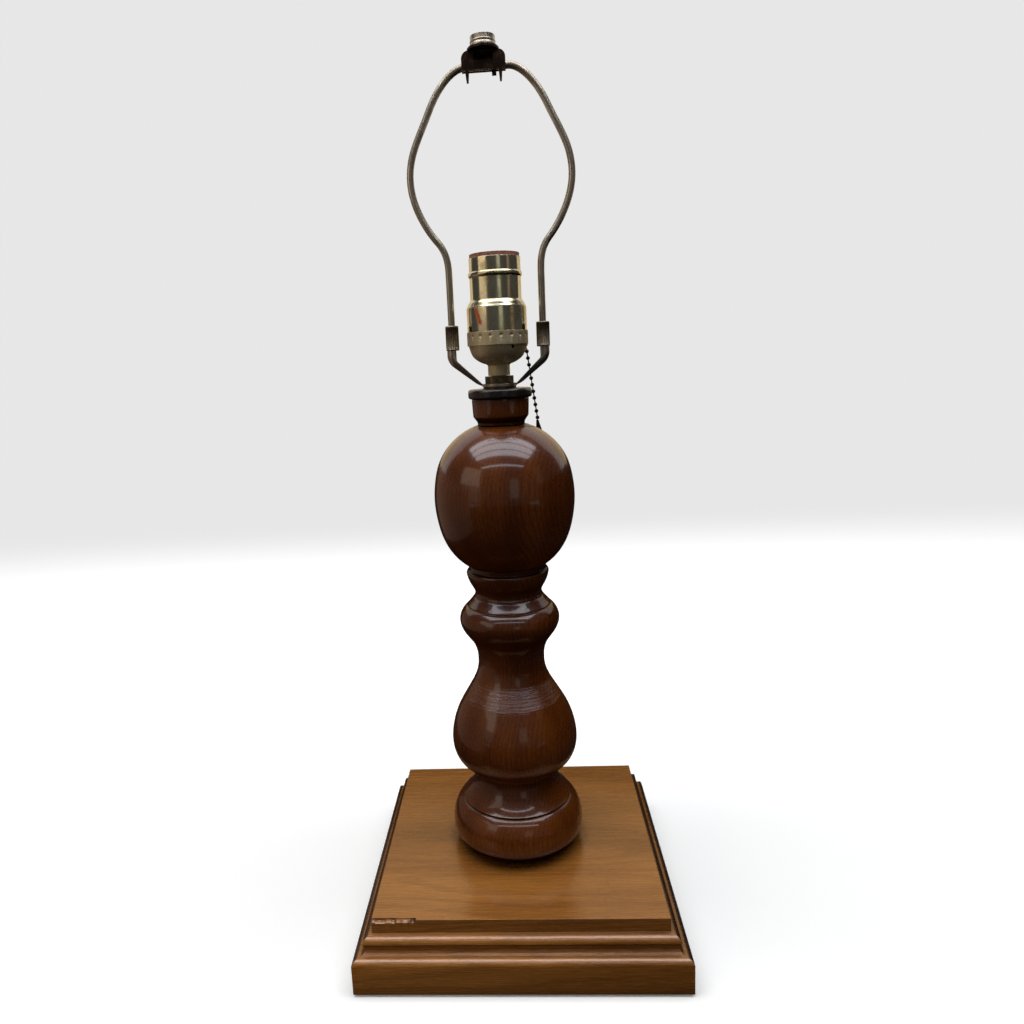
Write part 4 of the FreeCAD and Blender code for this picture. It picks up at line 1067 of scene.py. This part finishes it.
# Cards: name, place, tilt about X and lean about Y in degrees, width, depth, tint and glow
CARDS = (
    ("Left flag", (-0.42, 0.25, 0.18), (0, 90), 0.36, 1.1, (0.16, 0.11, 0.085), 1.0),
    ("Right flag", (0.44, 0.25, 0.18), (0, 90), 0.36, 1.1, BLACK, 0.0),
    ("Low back flag", (0, 0.52, 0.165), (90, 0), 1.2, 0.33, BLACK, 0.0),
    ("High back flag", (0, 0.52, 0.48), (90, 0), 1.2, 0.3, (0.66, 0.52, 0.32), 0.55),
    ("Floor flag left", (-0.4975, 0.1, 0.0004), (0, 0), 0.8, 0.9, BLACK, 0.0),
    ("Floor flag right", (0.4975, 0.1, 0.0004), (0, 0), 0.8, 0.9, BLACK, 0.0),
    ("Floor flag front", (0, -1.1475, 0.0004), (0, 0), 3.0, 2.1, BLACK, 0.0),
    ("Floor flag back", (0, 0.33, 0.0004), (0, 0), 0.195, 0.44, BLACK, 0.0),
    ("Front curtain", (0, -2.25, 1.3), (90, 0), 6.4, 3.8, ROOM, 1.0),
    ("Left curtain", (-3.2, -0.8, 1.6), (0, 90), 3.2, 4.8, ROOM, 1.0),
    ("Right curtain", (3.2, -0.8, 1.6), (0, 90), 3.2, 4.8, ROOM, 1.0),
    ("Ceiling curtain", (0, -0.8, 3.2), (0, 0), 6.4, 4.8, ROOM, 1.0),
)


def shown_rays(tree):
    """1 for the rays that show the background, 0 for those that light the lamp."""
    ray = add(tree, "LightPath").outputs
    shown = plus(ray["Is Camera Ray"], ray["Is Glossy Ray"], clamp=True)
    return plus(shown, ray["Is Transmission Ray"], clamp=True)


def backdrop_finish():
    """White floor that turns pale grey far back, shown to the camera and to reflections."""
    material, tree, _ = new_finish("Backdrop")
    tree.nodes.clear()
    depth = axes(here(tree))["Y"]
    shown = shown_rays(tree)
    matt = mix_colour(shown, grey(0.08), (1.0, 0.98, 0.92, 1))
    glow = mix_colour(ramp(depth, 0.0, 0.4), grey(0.09), grey(0.50))
    floor = after("BsdfDiffuse", {"Color": matt}).outputs[0]
    lift = after("Emission", {"Color": glow, "Strength": shown}).outputs[0]
    lit = after("AddShader", {0: floor, 1: lift}).outputs[0]
    wall = add(tree, "Emission", {"Color": PALE, "Strength": 1.0}).outputs[0]
    far_back = times(ramp(depth, 0.82, 1.35), shown)
    whole = after("MixShader", {0: far_back, 1: lit, 2: wall}).outputs[0]
    after("OutputMaterial", {"Surface": whole})
    return material


class LAMP_OT_stage(bpy.types.Operator):
    """Set up the camera, the soft lights and the pale sweep behind the lamp"""
    bl_idname = "lamp.stage"
    bl_label = "Stage"

    def execute(self, context):
        scene = context.scene
        scene.view_settings.view_transform = "Standard"
        self.camera(scene)
        self.sweep()
        for lamp in LAMPS:
            self.softbox(*lamp)
        for card in CARDS:
            self.card(*card)
        world = bpy.data.worlds.new("Room")
        scene.world = world
        world.use_nodes = True
        tree = world.node_tree
        room = mix_colour(shown_rays(tree), (*ROOM, 1), PALE)
        feed(tree.nodes["Background"].inputs["Color"], room)
        return {"FINISHED"}

    def camera(self, scene):
        stage = scene.lamp_stage
        data = bpy.data.cameras.new("Camera")
        data.sensor_width = 36.0
        data.lens = stage.lens
        data.shift_x = stage.shift
        data.clip_start = 0.01
        camera = bpy.data.objects.new("Camera", data)
        scene.collection.objects.link(camera)
        right = Vector((0.99734, 0.05345, -0.04970))
        up = Vector((0.03874, 0.18945, 0.98114))
        facing_back = right.cross(up)
        turn = Matrix((right, up, facing_back)).transposed().to_4x4()
        camera.matrix_world = Matrix.Translation(Vector(stage.eye)) @ turn
        scene.camera = camera

    def softbox(self, name, place, aim, width, depth, power, tint):
        data = bpy.data.lights.new(name, "AREA")
        data.shape = "RECTANGLE"
        data.size = width
        data.size_y = depth
        data.energy = power
        data.color = tint
        lamp = bpy.data.objects.new(name, data)
        bpy.context.scene.collection.objects.link(lamp)
        lamp.location = place
        lamp.rotation_euler = (Vector(aim) - Vector(place)).to_track_quat("-Z", "Y").to_euler()

    def card(self, name, place, turn, width, depth, tint, glow):
        """Card that only reflections see, between the lamp's gloss and the white floor."""
        tilt, lean = (math.radians(angle) for angle in turn)
        stand = Matrix.Translation(place) @ Matrix.Rotation(tilt, 4, "X") @ Matrix.Rotation(lean, 4, "Y")
        bm = bmesh.new()
        bmesh.ops.create_grid(bm, x_segments=1, y_segments=1, size=0.5)
        bmesh.ops.scale(bm, vec=(width, depth, 1), verts=bm.verts)
        bmesh.ops.transform(bm, matrix=stand, verts=bm.verts)
        card = new_object(name, bm)
        material, _, shader = new_finish(name + " card")
        feed_all(
            shader, Base_Color=(*tint, 1), Roughness=1.0, Specular_IOR_Level=0.0,
            Emission_Color=(*tint, 1), Emission_Strength=glow)
        card.data.materials.append(material)
        card.visible_camera = False
        card.visible_diffuse = False
        card.visible_shadow = False

    def sweep(self):
        """Floor that curves up into a wall behind the lamp."""
        half_width, front, just_under = 7.0, -2.2, -0.0002
        curve_start, curve_radius, wall_height = 1.6, 0.6, 2.4
        bm = bmesh.new()
        ends = [bm.verts.new((x, front, just_under)) for x in (-half_width, half_width)]
        edges = [bm.edges.new(ends)]
        for depth in (2.95, 0.85):
            verts, edges = draw_out(bm, edges)
            bmesh.ops.translate(bm, vec=(0, depth, 0), verts=verts)
        bmesh.ops.spin(
            bm, geom=verts + edges, cent=(0, curve_start, curve_radius), axis=(1, 0, 0),
            angle=math.radians(90), steps=12)
        top = max((e for e in bm.edges if e.is_boundary),
                  key=lambda e: sum(v.co.z + v.co.y for v in e.verts))
        verts, _ = draw_out(bm, [top])
        bmesh.ops.translate(bm, vec=(0, 0, wall_height), verts=verts)
        face_outward(bm)
        for face in bm.faces:
            face.smooth = True
        backdrop = new_object("backdrop", bm)
        backdrop.data.materials.append(backdrop_finish())


class LAMP_PT_panel(bpy.types.Panel):
    """Lists the lamp's settings and pieces"""
    bl_idname = "LAMP_PT_panel"
    bl_label = "Turned table lamp"
    bl_space_type = "VIEW_3D"
    bl_region_type = "UI"
    bl_category = "Lamp"

    def draw(self, context):
        column = self.layout.column()
        for group in SETTINGS:
            settings = getattr(context.scene, group)
            for key in type(settings).__annotations__:
                column.prop(settings, key)
        for operator in OPERATORS:
            column.operator(operator.bl_idname)


SETTINGS = {
    "lamp_finishes": LampFinishes,
    "lamp_turning": LampTurning,
    "lamp_socket": LampSocket,
    "lamp_hardware": LampHardware,
    "lamp_stage": LampStage,
}
OPERATORS = (
    LAMP_OT_stage, LAMP_OT_felt, LAMP_OT_plinth, LAMP_OT_column, LAMP_OT_fastenings, LAMP_OT_saddle,
    LAMP_OT_socket, LAMP_OT_socket_inside, LAMP_OT_chain, LAMP_OT_harp,
)


def register():
    for kind in (*SETTINGS.values(), *OPERATORS, LAMP_PT_panel):
        bpy.utils.register_class(kind)
    for name, kind in SETTINGS.items():
        setattr(bpy.types.Scene, name, PointerProperty(type=kind))


def unregister():
    for name in SETTINGS:
        delattr(bpy.types.Scene, name)
    for kind in reversed((*SETTINGS.values(), *OPERATORS, LAMP_PT_panel)):
        bpy.utils.unregister_class(kind)


def main():
    register()
    for operator in OPERATORS:
        group, name = operator.bl_idname.split(".")
        getattr(getattr(bpy.ops, group), name)()


if __name__ == "__main__":
    main()
